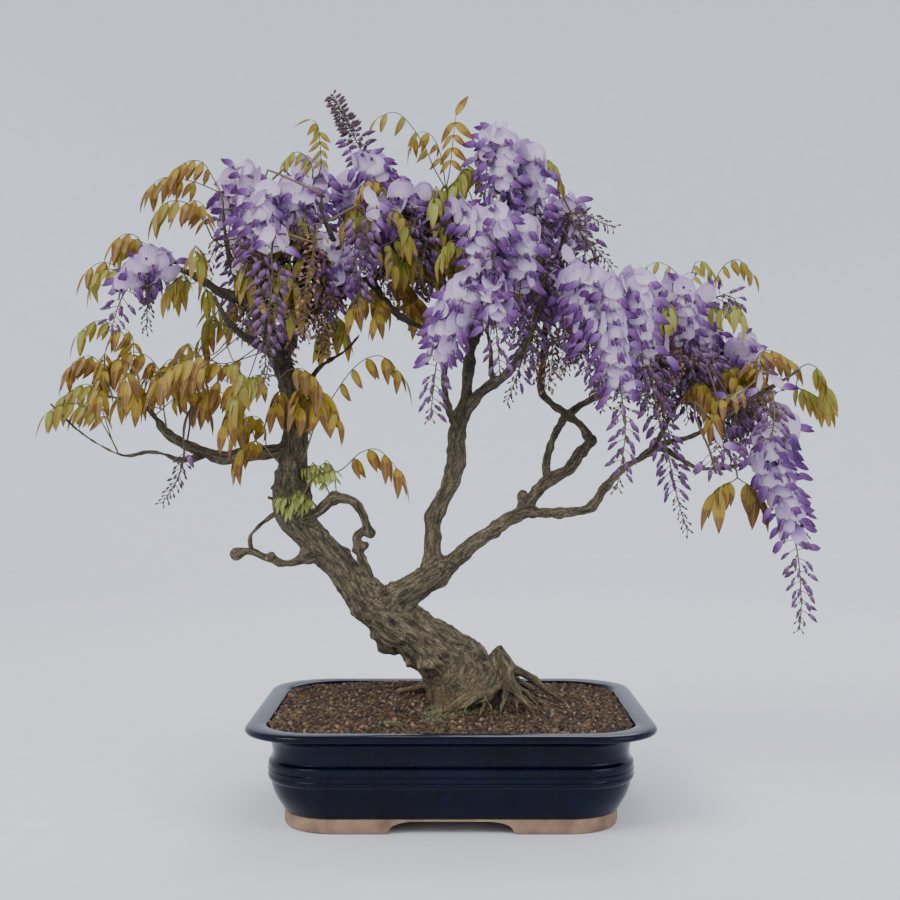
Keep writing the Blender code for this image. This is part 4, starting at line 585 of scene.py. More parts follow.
class Cluster:
    """Many forms gathered into one mesh."""

    def __init__(self):
        self.parts = []
        self.count = 0

    def add(self, form, tone, origin=None, basis=None):
        points = form.points
        if basis is not None:
            points = points @ basis.T + np.array(origin)
        self.parts.append((points, form.triangles + self.count, form.slots, form.uv,
                           np.full(len(points), tone)))
        self.count += len(points)

    def make(self, name, materials, smooth=True):
        points, triangles, slots, uv, tones = (np.concatenate(part) for part in zip(*self.parts))
        mesh = bpy.data.meshes.new(name)
        mesh.vertices.add(len(points))
        mesh.vertices.foreach_set("co", points.astype(np.float32).ravel())
        mesh.loops.add(len(triangles) * 3)
        mesh.loops.foreach_set("vertex_index", triangles.ravel())
        mesh.polygons.add(len(triangles))
        mesh.polygons.foreach_set("loop_start", np.arange(0, len(triangles) * 3, 3))
        mesh.polygons.foreach_set("material_index", slots)
        mesh.polygons.foreach_set("use_smooth", np.full(len(triangles), smooth))
        layer = mesh.uv_layers.new(name="petal")
        layer.data.foreach_set("uv", uv[triangles.ravel()].astype(np.float32).ravel())
        tone = mesh.attributes.new("tone", "FLOAT", "POINT")
        tone.data.foreach_set("value", tones.astype(np.float32))
        for material in materials:
            mesh.materials.append(material)
        mesh.update()
        return placed(name, mesh)

    def stand(self, name, materials, slot, *nodes, smooth=True):
        stand_in(self.make(name, materials, smooth), slot, *nodes)


# Materials


def srgb(red, green, blue):
    def linear(value):
        value /= 255.0
        return value / 12.92 if value <= 0.04045 else ((value + 0.055) / 1.055) ** 2.4
    return (linear(red), linear(green), linear(blue), 1.0)


def grey(value):
    return (value, value, value, 1.0)


BLACK = grey(0.0)
WHITE = grey(1.0)


class Recipe:
    """A material being put together round its Principled shader."""

    def __init__(self, name, **values):
        self.material = bpy.data.materials.new(name)
        self.material.use_nodes = True
        self.tree = self.material.node_tree
        self.shader = self.tree.nodes["Principled BSDF"]
        for socket, value in values.items():
            self.shader.inputs[socket.replace("_", " ")].default_value = value

    def node(self, kind, inputs, **settings):
        made = self.tree.nodes.new("ShaderNode" + kind)
        for key, value in settings.items():
            setattr(made, key, value)
        for socket, value in inputs.items():
            if isinstance(value, bpy.types.NodeSocket):
                self.tree.links.new(value, made.inputs[socket])
            else:
                made.inputs[socket].default_value = value
        return made

    def place(self):
        return self.node("TexCoord", {}).outputs["Object"]

    def attribute(self, name, output="Fac"):
        return self.node("Attribute", {}, attribute_name=name).outputs[output]

    def tone(self):
        """The number that each flower, leaflet or grain got when it was placed."""
        return self.attribute("tone")

    def uv(self):
        return self.node("UVMap", {}, uv_map="petal").outputs["UV"]

    def split(self, vector):
        return self.node("SeparateXYZ", {"Vector": vector}).outputs

    def math(self, operation, first, second=0.0, clamp=False):
        made = self.node("Math", {0: first, 1: second}, operation=operation, use_clamp=clamp)
        return made.outputs[0]

    def times(self, first, second, clamp=False):
        return self.math("MULTIPLY", first, second, clamp)

    def plus(self, base, extra, weight):
        return self.math("ADD", base, self.times(extra, weight))

    def aside(self, across):
        """How far a point of a petal or blade is from its middle line."""
        return self.math("ABSOLUTE", self.math("SUBTRACT", across, 0.5))

    def noise(self, vector, scale, detail=3.0, roughness=0.55):
        inputs = {"Vector": vector, "Scale": scale, "Detail": detail, "Roughness": roughness}
        return self.node("TexNoise", inputs).outputs["Fac"]

    def stretched(self, vector, stretch, *settings):
        mapped = self.node("Mapping", {"Vector": vector, "Scale": stretch}).outputs[0]
        return self.noise(mapped, *settings)

    def cells(self, vector, scale):
        return self.node("TexVoronoi", {"Vector": vector, "Scale": scale}).outputs["Distance"]

    def ramp(self, factor, stops):
        made = self.node("ValToRGB", {"Fac": factor})
        elements = made.color_ramp.elements
        while len(elements) < len(stops):
            elements.new(0.5)
        for element, (position, colour) in zip(elements, stops):
            element.position = position
            element.color = colour
        return made.outputs["Color"]

    def mask(self, factor, start, end, first=0.0, last=1.0):
        return self.ramp(factor, [(start, grey(first)), (end, grey(last))])

    def mix(self, factor, first, second, blend="MIX"):
        inputs = {0: factor, 6: first, 7: second}
        return self.node("Mix", inputs, data_type="RGBA", blend_type=blend).outputs[2]

    def cover(self, colour, over, mask, share):
        """Lay a colour over another one where the mask is white, up to a share."""
        return self.mix(self.mix(share, BLACK, mask), colour, over)

    def feed(self, socket, value):
        self.tree.links.new(value, self.shader.inputs[socket])

    def done(self, colour, height, distance, strength, glow=0.0):
        """Finish with a colour, a relief in mm, and light that comes through from behind."""
        self.feed("Base Color", colour)
        inputs = {"Height": height, "Distance": distance * MM, "Strength": strength}
        self.feed("Normal", self.node("Bump", inputs).outputs[0])
        if glow:
            thin = self.node("BsdfTranslucent", {"Color": colour}).outputs[0]
            blend = self.node("MixShader", {0: glow, 1: self.shader.outputs[0], 2: thin})
            output = self.tree.nodes["Material Output"]
            self.tree.links.new(blend.outputs[0], output.inputs["Surface"])
        return self.material


def standard_petal():
    """Near-white lilac with a cream eye at the foot, violet towards the edge, faint veins."""
    recipe = Recipe("standard_petal", Roughness=0.55, Sheen_Weight=0.25)
    uv = recipe.uv()
    across, along, _ = recipe.split(uv)
    edge = recipe.times(recipe.aside(across), recipe.math("ADD", along, 0.3))
    pale = recipe.ramp(along, [(0.0, srgb(200, 190, 146)), (0.14, srgb(240, 235, 216)),
                               (0.4, srgb(242, 230, 242)), (1.0, srgb(222, 196, 228))])
    deep = recipe.ramp(along, [(0.0, srgb(190, 176, 168)), (0.16, srgb(226, 204, 228)),
                               (0.5, srgb(194, 158, 208)), (1.0, srgb(154, 110, 178))])
    colour = recipe.mix(recipe.tone(), pale, deep)
    colour = recipe.mix(recipe.times(edge, 1.1, clamp=True), colour, srgb(180, 140, 200))
    veins = recipe.mask(recipe.stretched(uv, (26.0, 2.2, 1.0), 1.0, 2.0), 0.42, 0.66, last=0.5)
    colour = recipe.mix(veins, colour, srgb(158, 118, 190))
    return recipe.done(colour, recipe.stretched(uv, (18.0, 3.0, 1.0), 1.0), 0.4, 0.5, glow=0.3)


def violet_petal(name, light, middle, dark):
    """Wings, keels and closed flowers: pale at the foot and deep violet at the tip."""
    recipe = Recipe(name, Roughness=0.5, Sheen_Weight=0.2)
    along = recipe.split(recipe.uv())[1]
    speckle = recipe.noise(recipe.place(), 420.0)
    depth = recipe.plus(recipe.plus(along, recipe.tone(), 0.35), speckle, 0.25)
    colour = recipe.ramp(depth, [(0.1, light), (0.55, middle), (1.0, dark)])
    return recipe.done(colour, speckle, 0.3, 0.4, glow=0.22)


def bud_skin():
    """Calyxes and buds: dull purple-brown with a green-brown foot and a fine down."""
    recipe = Recipe("bud_skin", Roughness=0.75, Sheen_Weight=0.35)
    fleck = recipe.noise(recipe.place(), 600.0)
    depth = recipe.plus(recipe.split(recipe.uv())[1], fleck, 0.4)
    purple = recipe.ramp(depth, [(0.1, srgb(112, 92, 66)), (0.5, srgb(88, 58, 72)),
                                 (1.0, srgb(70, 42, 70))])
    colour = recipe.mix(recipe.tone(), purple, srgb(84, 58, 46))
    return recipe.done(colour, fleck, 0.25, 0.5)


def mottled(recipe, scale, weight, stops, distance, strength):
    """Colours drawn by each piece's tone and by fine noise, which is its relief as well."""
    patch = recipe.noise(recipe.place(), scale)
    shade = recipe.plus(recipe.tone(), patch, weight)
    return recipe.done(recipe.ramp(shade, stops), patch, distance, strength)


def dry_flower():
    """What is left of faded flowers, reddish brown and papery."""
    stops = [(0.1, srgb(70, 44, 50)), (0.7, srgb(112, 76, 66)), (1.0, srgb(156, 122, 92))]
    return mottled(Recipe("dry_flower", Roughness=0.85), 500.0, 0.5, stops, 0.3, 0.6)


def moss_skin():
    stops = [(0.2, srgb(48, 54, 20)), (1.0, srgb(106, 110, 46))]
    return mottled(Recipe("moss", Roughness=0.9, Sheen_Weight=0.4), 200.0, 0.6, stops, 0.5, 0.7)


def green_stem():
    recipe = Recipe("green_stem", Roughness=0.6)
    place = recipe.place()
    shade = recipe.plus(recipe.tone(), recipe.noise(place, 90.0), 0.5)
    colour = recipe.ramp(shade, [(0.1, srgb(112, 112, 44)), (0.6, srgb(98, 84, 46)),
                                 (1.0, srgb(76, 54, 52))])
    return recipe.done(colour, recipe.noise(place, 700.0), 0.2, 0.5)


def leaf_blade(name, foot, middle, tip):
    """A leaflet: paler midrib and side veins, colour running from its foot to its tip."""
    recipe = Recipe(name, Roughness=0.42, Sheen_Weight=0.15)
    across, along, _ = recipe.split(recipe.uv())
    patch = recipe.noise(recipe.place(), 120.0)
    shade = recipe.plus(along, recipe.math("ADD", patch, recipe.tone()), 0.5)
    colour = recipe.ramp(shade, [(0.2, foot), (0.9, middle), (1.0, tip)])
    aside = recipe.aside(across)
    slant = recipe.math("SUBTRACT", along, recipe.times(aside, 0.45))
    side_vein = recipe.math("SINE", recipe.times(slant, 75.0))
    side_vein = recipe.times(recipe.math("SUBTRACT", side_vein, 0.8), 4.0, clamp=True)
    midrib = recipe.math("SUBTRACT", 1.0, recipe.times(aside, 14.0), clamp=True)
    vein = recipe.math("MAXIMUM", midrib, recipe.times(side_vein, 0.45))
    colour = recipe.mix(recipe.times(vein, 0.4), colour, srgb(196, 186, 104))
    return recipe.done(colour, vein, 0.25, 0.6, glow=0.3)


def bark():
    """Grey-brown bark, furrowed along each limb, with lichen, tan on the roots, and painted shade
    deepening its own dark furrows and pits.
    """
    recipe = Recipe("wisteria_bark", Roughness=0.88)
    grain = recipe.attribute("grain", "Vector")
    place = recipe.place()
    height = recipe.split(place)[2]
    furrow = recipe.stretched(grain, (1.0, 1.0, 0.2), 300.0, 8.0, 0.74)
    flake = recipe.stretched(grain, (1.0, 1.0, 0.5), 760.0, 6.0, 0.75)
    # Near-black at the bottom of the furrows: the bark's own darker furrows, deepened with painted
    # shade.
    base = recipe.ramp(furrow, [(0.38, srgb(24, 20, 15)), (0.46, srgb(82, 72, 52)),
                                (0.62, srgb(152, 139, 108))])
    older = recipe.ramp(recipe.noise(place, 38.0, 4.0), [(0.35, srgb(66, 57, 42)),
                                                         (0.65, srgb(108, 98, 74))])
    colour = recipe.mix(0.25, base, older)
    colour = recipe.cover(colour, srgb(48, 39, 31), recipe.mask(height, 0.3, 0.46), 0.65)
    lichen = recipe.mask(recipe.noise(place, 75.0, 6.0, 0.7), 0.6, 0.68)
    colour = recipe.cover(colour, srgb(122, 126, 88), lichen, 0.45)
    roots = recipe.ramp(recipe.noise(place, 60.0, 4.0), [(0.42, srgb(58, 54, 30)),
                                                         (0.54, srgb(148, 120, 84))])
    low = recipe.mask(height, 0.095, 0.15, first=1.0, last=0.0)
    colour = recipe.cover(colour, roots, low, 0.5)
    # Darkens the hollows of the flaky relief: dark pits in the bark, deepened with painted shade.
    pits_and_shade = recipe.ramp(flake, [(0.38, (0.3, 0.28, 0.26, 1.0)), (0.56, WHITE)])
    colour = recipe.mix(1.0, colour, pits_and_shade, "MULTIPLY")
    colour = recipe.mix(recipe.mask(flake, 0.62, 0.7, last=0.6), colour, srgb(158, 148, 118))
    return recipe.done(colour, recipe.plus(furrow, flake, 0.35), 2.4, 1.0)


def navy_glaze():
    """Dark blue glaze with pooled cloudy patches, specks, and a slightly uneven gloss."""
    recipe = Recipe("navy_glaze", Roughness=0.2, Specular_IOR_Level=0.14, Coat_Weight=0.08,
                    Coat_Roughness=0.06)
    place = recipe.place()
    fine = recipe.noise(place, 240.0, 3.0)
    cloudy = recipe.ramp(recipe.noise(place, 16.0, 4.0), [
        (0.35, srgb(2, 4, 16)), (0.55, srgb(4, 9, 30)), (0.75, srgb(8, 15, 44))])
    colour = recipe.mix(recipe.mask(fine, 0.6, 0.8, last=0.12), cloudy, srgb(30, 42, 76))
    recipe.feed("Roughness", recipe.plus(0.16, fine, 0.12))
    return recipe.done(colour, recipe.noise(place, 55.0, 2.0), 0.35, 0.35)


def bare_clay():
    """Unglazed stoneware on the feet: tan with dark grog specks."""
    recipe = Recipe("bare_clay", Roughness=0.85)
    place = recipe.place()
    clay = recipe.ramp(recipe.noise(place, 40.0, 4.0), [(0.3, srgb(112, 90, 72)),
                                                        (0.7, srgb(160, 132, 106))])
    specks = recipe.mask(recipe.cells(place, 380.0), 0.12, 0.2, first=1.0, last=0.0)
    colour = recipe.cover(clay, srgb(62, 46, 38), specks, 0.6)
    return recipe.done(colour, recipe.noise(place, 500.0, 4.0), 0.5, 0.6)


def soil_grain(name, dark, light):
    recipe = Recipe(name, Roughness=0.95)
    pores = recipe.noise(recipe.place(), 800.0)
    shade = recipe.plus(recipe.tone(), recipe.math("SUBTRACT", pores, 0.5), 0.7)
    return recipe.done(recipe.ramp(shade, [(0.0, dark), (1.0, light)]), pores, 0.6, 0.8)


def soil_bed():
    recipe = Recipe("soil_bed", Roughness=0.95)
    place = recipe.place()
    colour = recipe.ramp(recipe.noise(place, 300.0), [(0.35, srgb(38, 26, 20)),
                                                      (0.65, srgb(84, 56, 40))])
    return recipe.done(colour, recipe.cells(place, 260.0), 2.0, 1.0)


def screen_plastic():
    recipe = Recipe("screen_plastic", Roughness=0.6)
    speck = recipe.noise(recipe.place(), 900.0, 2.0)
    colour = recipe.ramp(speck, [(0.3, srgb(24, 24, 26)), (0.7, srgb(48, 48, 50))])
    return recipe.done(colour, speck, 0.1, 0.5)


def studio_paper():
    recipe = Recipe("studio_paper", Roughness=0.9)
    grain = recipe.noise(recipe.place(), 30.0)
    colour = recipe.ramp(grain, [(0.3, srgb(226, 229, 235)), (0.7, srgb(230, 233, 239))])
    recipe.feed("Base Color", colour)
    return recipe.material


# Pot

CORNER_SHARE = 0.31
CORNER_STEPS = 16
UNDERSIDE = 14.9 * MM
FOOT_WALL = 17 * MM
FOOT_HALF_LENGTH = 163.5 * MM
FOOT_EDGE = 0.9 * MM
FOOT_GAP_LENGTH = 118 * MM
FOOT_GAP_DEPTH = 96 * MM
FOOT_GAP_HEIGHT = 12.5 * MM
FOOT_GAP_CURVE = 24 * MM
DRAIN_OFFSET = 78 * MM
DRAIN_RADIUS = 10 * MM
DRAIN_CUT = (5 * MM, 35 * MM)

# The pot's level outlines, in mm: (height, half-length).
FOOT_PROFILE = [(0.4, 160.2), (0, 161.2), (0.5, 162.4), (3, 163.6), (9, 163.9), (14, 163.7),
                (15.5, 162)]
BODY_PROFILE = [
    (14.8, 158), (14.3, 161), (14.2, 162.8), (15, 164), (17, 165), (19, 166), (25, 169.3), (32, 172.6),
    (40, 175.2), (45, 176.1), (46.4, 176.4), (47.2, 177.6), (48.6, 178.5), (50.4, 178.7),
    (51.4, 178.6), (52, 179.2), (52.6, 178.6), (55, 178.6), (56.6, 178.6), (57.2, 179.2),
    (57.8, 178.6), (62, 178.7), (64.4, 178.5), (65.8, 177.5), (66.8, 176), (68.6, 175.1),
    (74, 174.7), (81, 175.9), (88, 178.8), (90.6, 183), (92, 189), (92.9, 195), (94, 198),
    (95.6, 199.3), (97.4, 199.5), (99, 198.9), (100.2, 197.2), (100.8, 194.5), (101, 191),
    (100.9, 186), (100.5, 182.6), (99.4, 180.6), (98, 179.9), (96, 178.9), (92, 176.2), (88, 172),
    (84, 168.8), (74, 166.6), (29, 161.2), (25, 158), (24, 154),
]


def outline(half_length, height):
    """A level rounded rectangle round the pot's middle."""
    half_depth = half_length - (RIM_LENGTH - RIM_DEPTH) / 2.0
    corner = half_length * CORNER_SHARE
    points = []
    for quarter, (sign_x, sign_y) in enumerate([(1, 1), (-1, 1), (-1, -1), (1, -1)]):
        for step in range(CORNER_STEPS + 1):
            angle = math.radians(90.0 * (quarter + step / CORNER_STEPS))
            x = sign_x * (half_length - corner) + corner * math.cos(angle)
            y = sign_y * (half_depth - corner) + corner * math.sin(angle)
            points.append(PLANT_ORIGIN + Vector((x, y, height)))
    return points


def loft(name, rings):
    """One closed mesh over a stack of outlines."""
    count = len(rings[0])
    points = [point for ring in rings for point in ring]
    faces = [tuple(range(count - 1, -1, -1)), tuple(range(len(points) - count, len(points)))]
    faces += bands(0, len(points) - count, count)
    mesh = bpy.data.meshes.new(name)
    mesh.from_pydata(points, [], faces)
    bm = bmesh.new()
    bm.from_mesh(mesh)
    bmesh.ops.recalc_face_normals(bm, faces=bm.faces)
    bm.to_mesh(mesh)
    bm.free()
    return placed(name, mesh)


def loft_profile(name, profile):
    return loft(name, [outline(half * MM, height * MM) for height, half in profile])


def apply_modifiers(piece):
    depsgraph = bpy.context.evaluated_depsgraph_get()
    mesh = bpy.data.meshes.new_from_object(piece.evaluated_get(depsgraph))
    piece.modifiers.clear()
    piece.data = mesh


def cut(body, *tools):
    """Take the tools out of the body for good."""
    for tool in tools:
        cutting = body.modifiers.new("Cut", "BOOLEAN")
        cutting.operation = "DIFFERENCE"
        cutting.object = tool
    apply_modifiers(body)
    for tool in tools:
        bpy.data.objects.remove(tool)


def foot_gap(name, along_x):
    """The recess between two feet, cut right through the foot ring."""
    half = (FOOT_GAP_LENGTH if along_x else FOOT_GAP_DEPTH) / 2.0
    section = [(-half - 6 * MM, -2 * MM), (-half - 1 * MM, 2.4 * MM)]
    for step in range(7):
        turn = math.pi / 2.0 * step / 6.0
        section.append((-half + FOOT_GAP_CURVE * (1.0 - math.cos(turn)),
                        FOOT_GAP_HEIGHT * (0.3 + 0.7 * math.sin(turn))))
    section += [(-across, up) for across, up in reversed(section)]
    rings = []
    for reach in (RIM_LENGTH / 2.0, -RIM_LENGTH / 2.0):
        if along_x:
            rings.append([PLANT_ORIGIN + Vector((across, reach, up)) for across, up in section])
        else:
            rings.append([PLANT_ORIGIN + Vector((-reach, across, up)) for across, up in section])
    return loft(name, rings)


def drain_column(side):
    low, high = DRAIN_CUT
    ring = [PLANT_ORIGIN + Vector((side * DRAIN_OFFSET + DRAIN_RADIUS * cosine,
                                   DRAIN_RADIUS * sine, low)) for cosine, sine in circle(40)]
    return loft("drain", [ring, [point + UP * (high - low) for point in ring]])


def glazed_body():
    body = loft_profile("pot_glazed_body", BODY_PROFILE)
    cut(body, drain_column(-1), drain_column(1))
    return body


def bare_feet():
    feet = loft_profile("pot_bare_feet", FOOT_PROFILE)
    hollow_half = FOOT_HALF_LENGTH - FOOT_WALL
    hollow = loft("hollow", [outline(hollow_half, -5 * MM), outline(hollow_half, 15.2 * MM)])
    cut(feet, hollow, foot_gap("gap_front_back", True), foot_gap("gap_sides", False))
    softened = feet.modifiers.new("Edges", "BEVEL")
    softened.width = FOOT_EDGE
    softened.segments = 3
    softened.limit_method = "ANGLE"
    softened.angle_limit = math.radians(40)
    apply_modifiers(feet)
    return feet


def make_pot():
    body = glazed_body()
    feet = bare_feet()
    clay = bare_clay()
    for piece, material in ((body, navy_glaze()), (feet, clay)):
        dress(piece, material)
        piece.data.shade_smooth()
        piece.data.set_sharp_from_angle(angle=math.radians(50))
        stand_in(piece, "glaze", "pot")
    body.data.materials.append(clay)
    for face in body.data.polygons:
        if face.center.z - PLANT_ORIGIN.z < UNDERSIDE:
            face.material_index = 1


# Wood

THICK_LIMBS = ("trunk", "low_arm", "middle_limb", "right_limb", "right_stub", "knee_limb",
               "low_left_limb", "dead_loop", "dead_loop_return", "dead_arm")
BARK_FOLLOWS = 3 * MM
FINEST_TWIG = 1.5 * MM
FINE_ROOTS = 17
GRAIN_SHIFT = 0.7
THICK_VOXEL = 1.9 * MM
THIN_VOXEL = 1.45 * MM
SLENDER = 11 * MM
FURROW_LIMIT = 1.9 * MM
FLAKE_LIMIT = 0.6 * MM

# How far each root goes on past its route, and how far down, in mm.
ROOT_TIP_REACH = 9
ROOT_TIP_DEPTH = 7

# Sizes of the bark's relief, as waves a metre: (across the limb, along it).
LUMPS = (48.0, 42.0)
KNOTS = (95.0, 75.0)
RIDGES = (230.0, 38.0)
FLAKES = (520.0, 160.0)
GNARLS = (70.0, 120.0)


def limb_line(points, radii, finest):
    """A limb's middle line at close steps, with its radius and the length run at each."""
    middle = curve_through(points, BARK_FOLLOWS)
    given = run_along(points)
    along = run_along(middle)
    smooth = np.interp(along * (given[-1] / along[-1]), given, radii)
    return middle, [max(finest, float(radius)) for radius in smooth], along.tolist()


def limb(route):
    radii = [thickness * MM / 2.0 * (1.0 + depth * MM / EYE_DISTANCE)
             for _, _, depth, thickness in route]
    return limb_line(seen_route(route), radii, FINEST_TWIG)


def root(route, soil):
    """A root, carried on past its route until its tip is under the soil."""
    points = seen_route(route)
    radii = [thickness * MM / 2.0 for _, _, _, thickness in route]
    onward = points[-1] - points[-2]
    onward.z = 0.0
    tip = points[-1] + onward.normalized() * ROOT_TIP_REACH * MM
    hit = soil.ray_cast(tip + Vector((0.0, 0.0, 0.2)), DOWN)[0]
    tip.z = min(points[-1].z, hit.z if hit else tip.z) - ROOT_TIP_DEPTH * MM
    return limb_line(points + [tip], radii + [radii[-1] * 0.7], 0.0)


def fine_roots():
    """Thin roots fanning out over the soil from under the trunk's right-hand end."""
    rng = random.Random(SEED)
    routes = []
    for index in range(FINE_ROOTS):
        share = index / (FINE_ROOTS - 1)
        across = -14 + 130 * share + rng.uniform(-8, 8)
        depth = -28 - 40 * math.sin(math.pi * share) + rng.uniform(-8, 8)
        start = (50 + rng.uniform(-16, 16), 134 + rng.uniform(-12, 8), -12 + rng.uniform(-8, 4))
        bow = (0.5 * (start[0] + across) + rng.uniform(-8, 8), 112 + rng.uniform(-4, 8), 0.6 * depth)
        thickness = rng.uniform(3.2, 6.0)
        end = (across, 97, depth, thickness * 0.7)
        routes.append([(*start, thickness * 1.3), (*bow, thickness), end])
    return routes


class Wood:
    """Every limb's middle line, for growing bark and for seating stems."""

    def __init__(self, soil):
        self.limbs = {name: limb(route) for name, route in WOOD}
        for index, route in enumerate(ROOTS + fine_roots()):
            self.limbs[f"root_{index}"] = root(route, soil)
        self.samples = []
        for number, (middle, radii, along) in enumerate(self.limbs.values()):
            for index, turned in enumerate(frames_along(middle)):
                run = along[index] + number * GRAIN_SHIFT
                self.samples.append((middle[index], radii[index], run, turned))
        self.tree = KDTree(len(self.samples))
        for index, sample in enumerate(self.samples):
            self.tree.insert(sample[0], index)
        self.tree.balance()

    def nearest(self, point):
        """The nearest point on any limb's middle line."""
        return self.samples[self.tree.find(point)[1]][0]

    def grain_at(self, point):
        """The point as it would lie if its limb were straight, and the limb's radius there."""
        found = self.tree.find_n(point, 6)
        best = min(found, key=lambda near: near[2] / self.samples[near[1]][1])[1]
        middle, radius, along, (way, side, other) = self.samples[best]
        offset = point - middle
        return Vector((offset.dot(side), offset.dot(other), along + offset.dot(way))), radius


def rough(grain, size):
    return noise.noise(Vector((grain.x * size[0], grain.y * size[0], grain.z * size[1])))


def bark_depth(grain, radius):
    """How far the bark stands out of the limb: lumps, then furrows along the limb."""
    thin = max(0.0, 1.0 - radius / SLENDER)
    knot = max(0.0, rough(grain, KNOTS) - 0.25)
    furrow = 0.5 - abs(rough(grain, RIDGES)) * 2.4
    depth = radius * ((0.15 + 0.25 * thin) * rough(grain, LUMPS)
                      + 0.55 * thin * rough(grain, GNARLS) + 0.5 * knot)
    return (depth + min(radius * 0.1, FURROW_LIMIT) * furrow
            + min(radius * 0.04, FLAKE_LIMIT) * rough(grain, FLAKES))


def grown_together(name, shapes, voxel, wood):
    """Fuse tubes into one skin, ease the joints and raise the bark."""
    cluster = Cluster()
    for shape in shapes:
        cluster.add(shape, 0.0)
    piece = cluster.make(name, [])
    fusing = piece.modifiers.new("Fuse", "REMESH")
    fusing.mode = "VOXEL"
    fusing.voxel_size = voxel
    easing = piece.modifiers.new("Ease", "SMOOTH")
    easing.factor = 0.5
    easing.iterations = 5
    apply_modifiers(piece)
    mesh = piece.data
    grains = np.zeros((len(mesh.vertices), 3), dtype=np.float32)
    normals = [vertex.normal.copy() for vertex in mesh.vertices]
    for vertex, normal in zip(mesh.vertices, normals):
        grain, radius = wood.grain_at(vertex.co)
        grains[vertex.index] = grain
        vertex.co += normal * bark_depth(grain, radius)
    kept = mesh.attributes.new("grain", "FLOAT_VECTOR", "POINT")
    kept.data.foreach_set("vector", grains.ravel())
    mesh.shade_smooth()
    return piece


def burl(across, up, depth, thickness):
    radius = thickness * MM / 2.0
    turns = [math.pi * index / 8 for index in range(9)]
    form = spindle([((0.0, 0.0, -math.cos(turn) * radius), math.sin(turn) * radius)
                    for turn in turns], 12, 0)
    form.points += np.array(seen(across, up, depth))
    return form


def make_tree(wood):
    material = bark()
    thick = [burl(*swelling) for swelling in BURLS]
    thin = []
    for name, (middle, radii, _) in wood.limbs.items():
        sides = 14 if radii[0] > 8 * MM else 9
        group = thick if name in THICK_LIMBS or name.startswith("root_") else thin
        group.append(tube(middle, radii, sides, 0))
    for name, shapes, voxel in (("tree_trunk_and_limbs", thick, THICK_VOXEL),
                                ("tree_branches", thin, THIN_VOXEL)):
        piece = grown_together(name, shapes, voxel, wood)
        piece.data.materials.append(material)
        stand_in(piece, "bark", "tree")


# Flowers

STANDARD, WING, CLOSED, BUD, STEM, DRY = range(6)
FLOWER_SIZE = 25 * MM
PEDICEL_LENGTH = 15 * MM
CLOSED_LENGTH = 17 * MM
BUD_LENGTH = 8 * MM
DRY_LENGTH = 6 * MM
RACHIS_RADII = (1.15 * MM, 0.5 * MM)
PEDUNCLE_RADIUS = 1.2 * MM
BARE_FOOT = 0.11
UPRIGHT_BUDS = 1.6
STALK_RADII = (0.55 * MM, 0.5 * MM, 0.6 * MM)
GOLDEN_ANGLE = math.radians(137.5)
FLOWER_CURVE_STEP = 6 * MM

# Each stage's spacing in mm, and the shares of the raceme where open and closed flowers end.
STAGES = {
    "full": (2.8, 0.62, 0.9),
    "late": (2.5, 0.14, 0.8),
    "bud": (2.6, 0.0, 0.12),
    "faded": (2.0, 0.0, 0.0),
    "upright": (1.7, 0.36, 0.6),
}

# Dense patches of the crown: name, slot, stages, count, middle and reach in mm (across, up, depth).
THICKET_STALK = 75 * MM
THICKET_FALL = (22 * MM, 48 * MM)
THICKETS = [
    ("left_spent", "faded_calyx", ["faded", "faded", "bud"], 34, (-172, 545, 0), (62, 62, 62)),
    ("left_violet", "closed_flower", ["late"], 11, (-168, 590, -20), (58, 38, 56)),
    ("left_front", "faded_calyx", ["faded", "faded", "late"], 14, (-166, 556, -48), (56, 48, 26)),
    ("bridge_spent", "faded_calyx", ["faded", "bud"], 22, (-50, 585, 0), (78, 45, 60)),
    ("bridge_violet", "closed_flower", ["late", "full"], 14, (-48, 600, -10), (74, 36, 56)),
    ("middle_spent", "faded_calyx", ["faded", "bud"], 20, (100, 505, 0), (55, 50, 60)),
    ("middle_violet", "closed_flower", ["late"], 9, (95, 560, -10), (60, 50, 56)),
    ("right_spent", "faded_calyx", ["faded", "bud"], 20, (215, 448, 0), (66, 44, 56)),
    ("right_violet", "closed_flower", ["late"], 9, (230, 452, -10), (66, 36, 50)),
    ("far_right_spent", "faded_calyx", ["bud", "late"], 8, (292, 415, 0), (40, 26, 36)),
]


def standard_form(rng, fold):
    """The big back petal, rounded, leaning back and folded a little along its middle."""
    lean = 0.3 + rng.uniform(-0.1, 0.1)
    curl = 0.13 + rng.uniform(-0.06, 0.08)
    skew = rng.uniform(-0.06, 0.06)

    def surface(a, b):
        width = 0.5 * math.sqrt(max(0.0, 1.0 - (2.0 * b ** 0.8 - 1.0) ** 2)) + 0.05 * (1.0 - b)
        x = a * width * (1.0 - fold * 0.55)
        y = b * 0.96 - 0.06 + skew * a * b
        z = 0.06 - lean * b ** 1.6 - curl * a * a * math.sin(math.pi * min(1.0, b + 0.1))
        z += fold * 0.5 * abs(a) * width + 0.035 * math.cos(a * 9.0) * b * (1.0 - b)
        return x, y, z

    return sheet(surface, 6, 5, STANDARD)


def wing_forms(rng, spread):
    """The two oblong petals that reach forward below the standard."""
    wings = []
    for side in (1, -1):
        drop = 0.3 + rng.uniform(-0.1, 0.12)

        def surface(a, b):
            width = 0.17 * math.sin(math.pi * min(1.0, 0.08 + b * 0.9)) ** 0.7
            x = side * (0.03 + spread * math.sin(math.pi * b * 0.7) * 0.7 + 0.05 * (1.0 - a * a))
            return x, 0.02 - drop * b ** 1.5 + a * width, 0.08 + 0.62 * b

        wings.append(sheet(surface, 2, 4, WING))
    return wings


def keel_form():
    return spindle([((0.0, 0.0, 0.05), 0.0), ((0.0, -0.05, 0.25), 0.06),
                    ((0.0, -0.2, 0.52), 0.06), ((0.0, -0.28, 0.66), 0.0)], 4, WING)


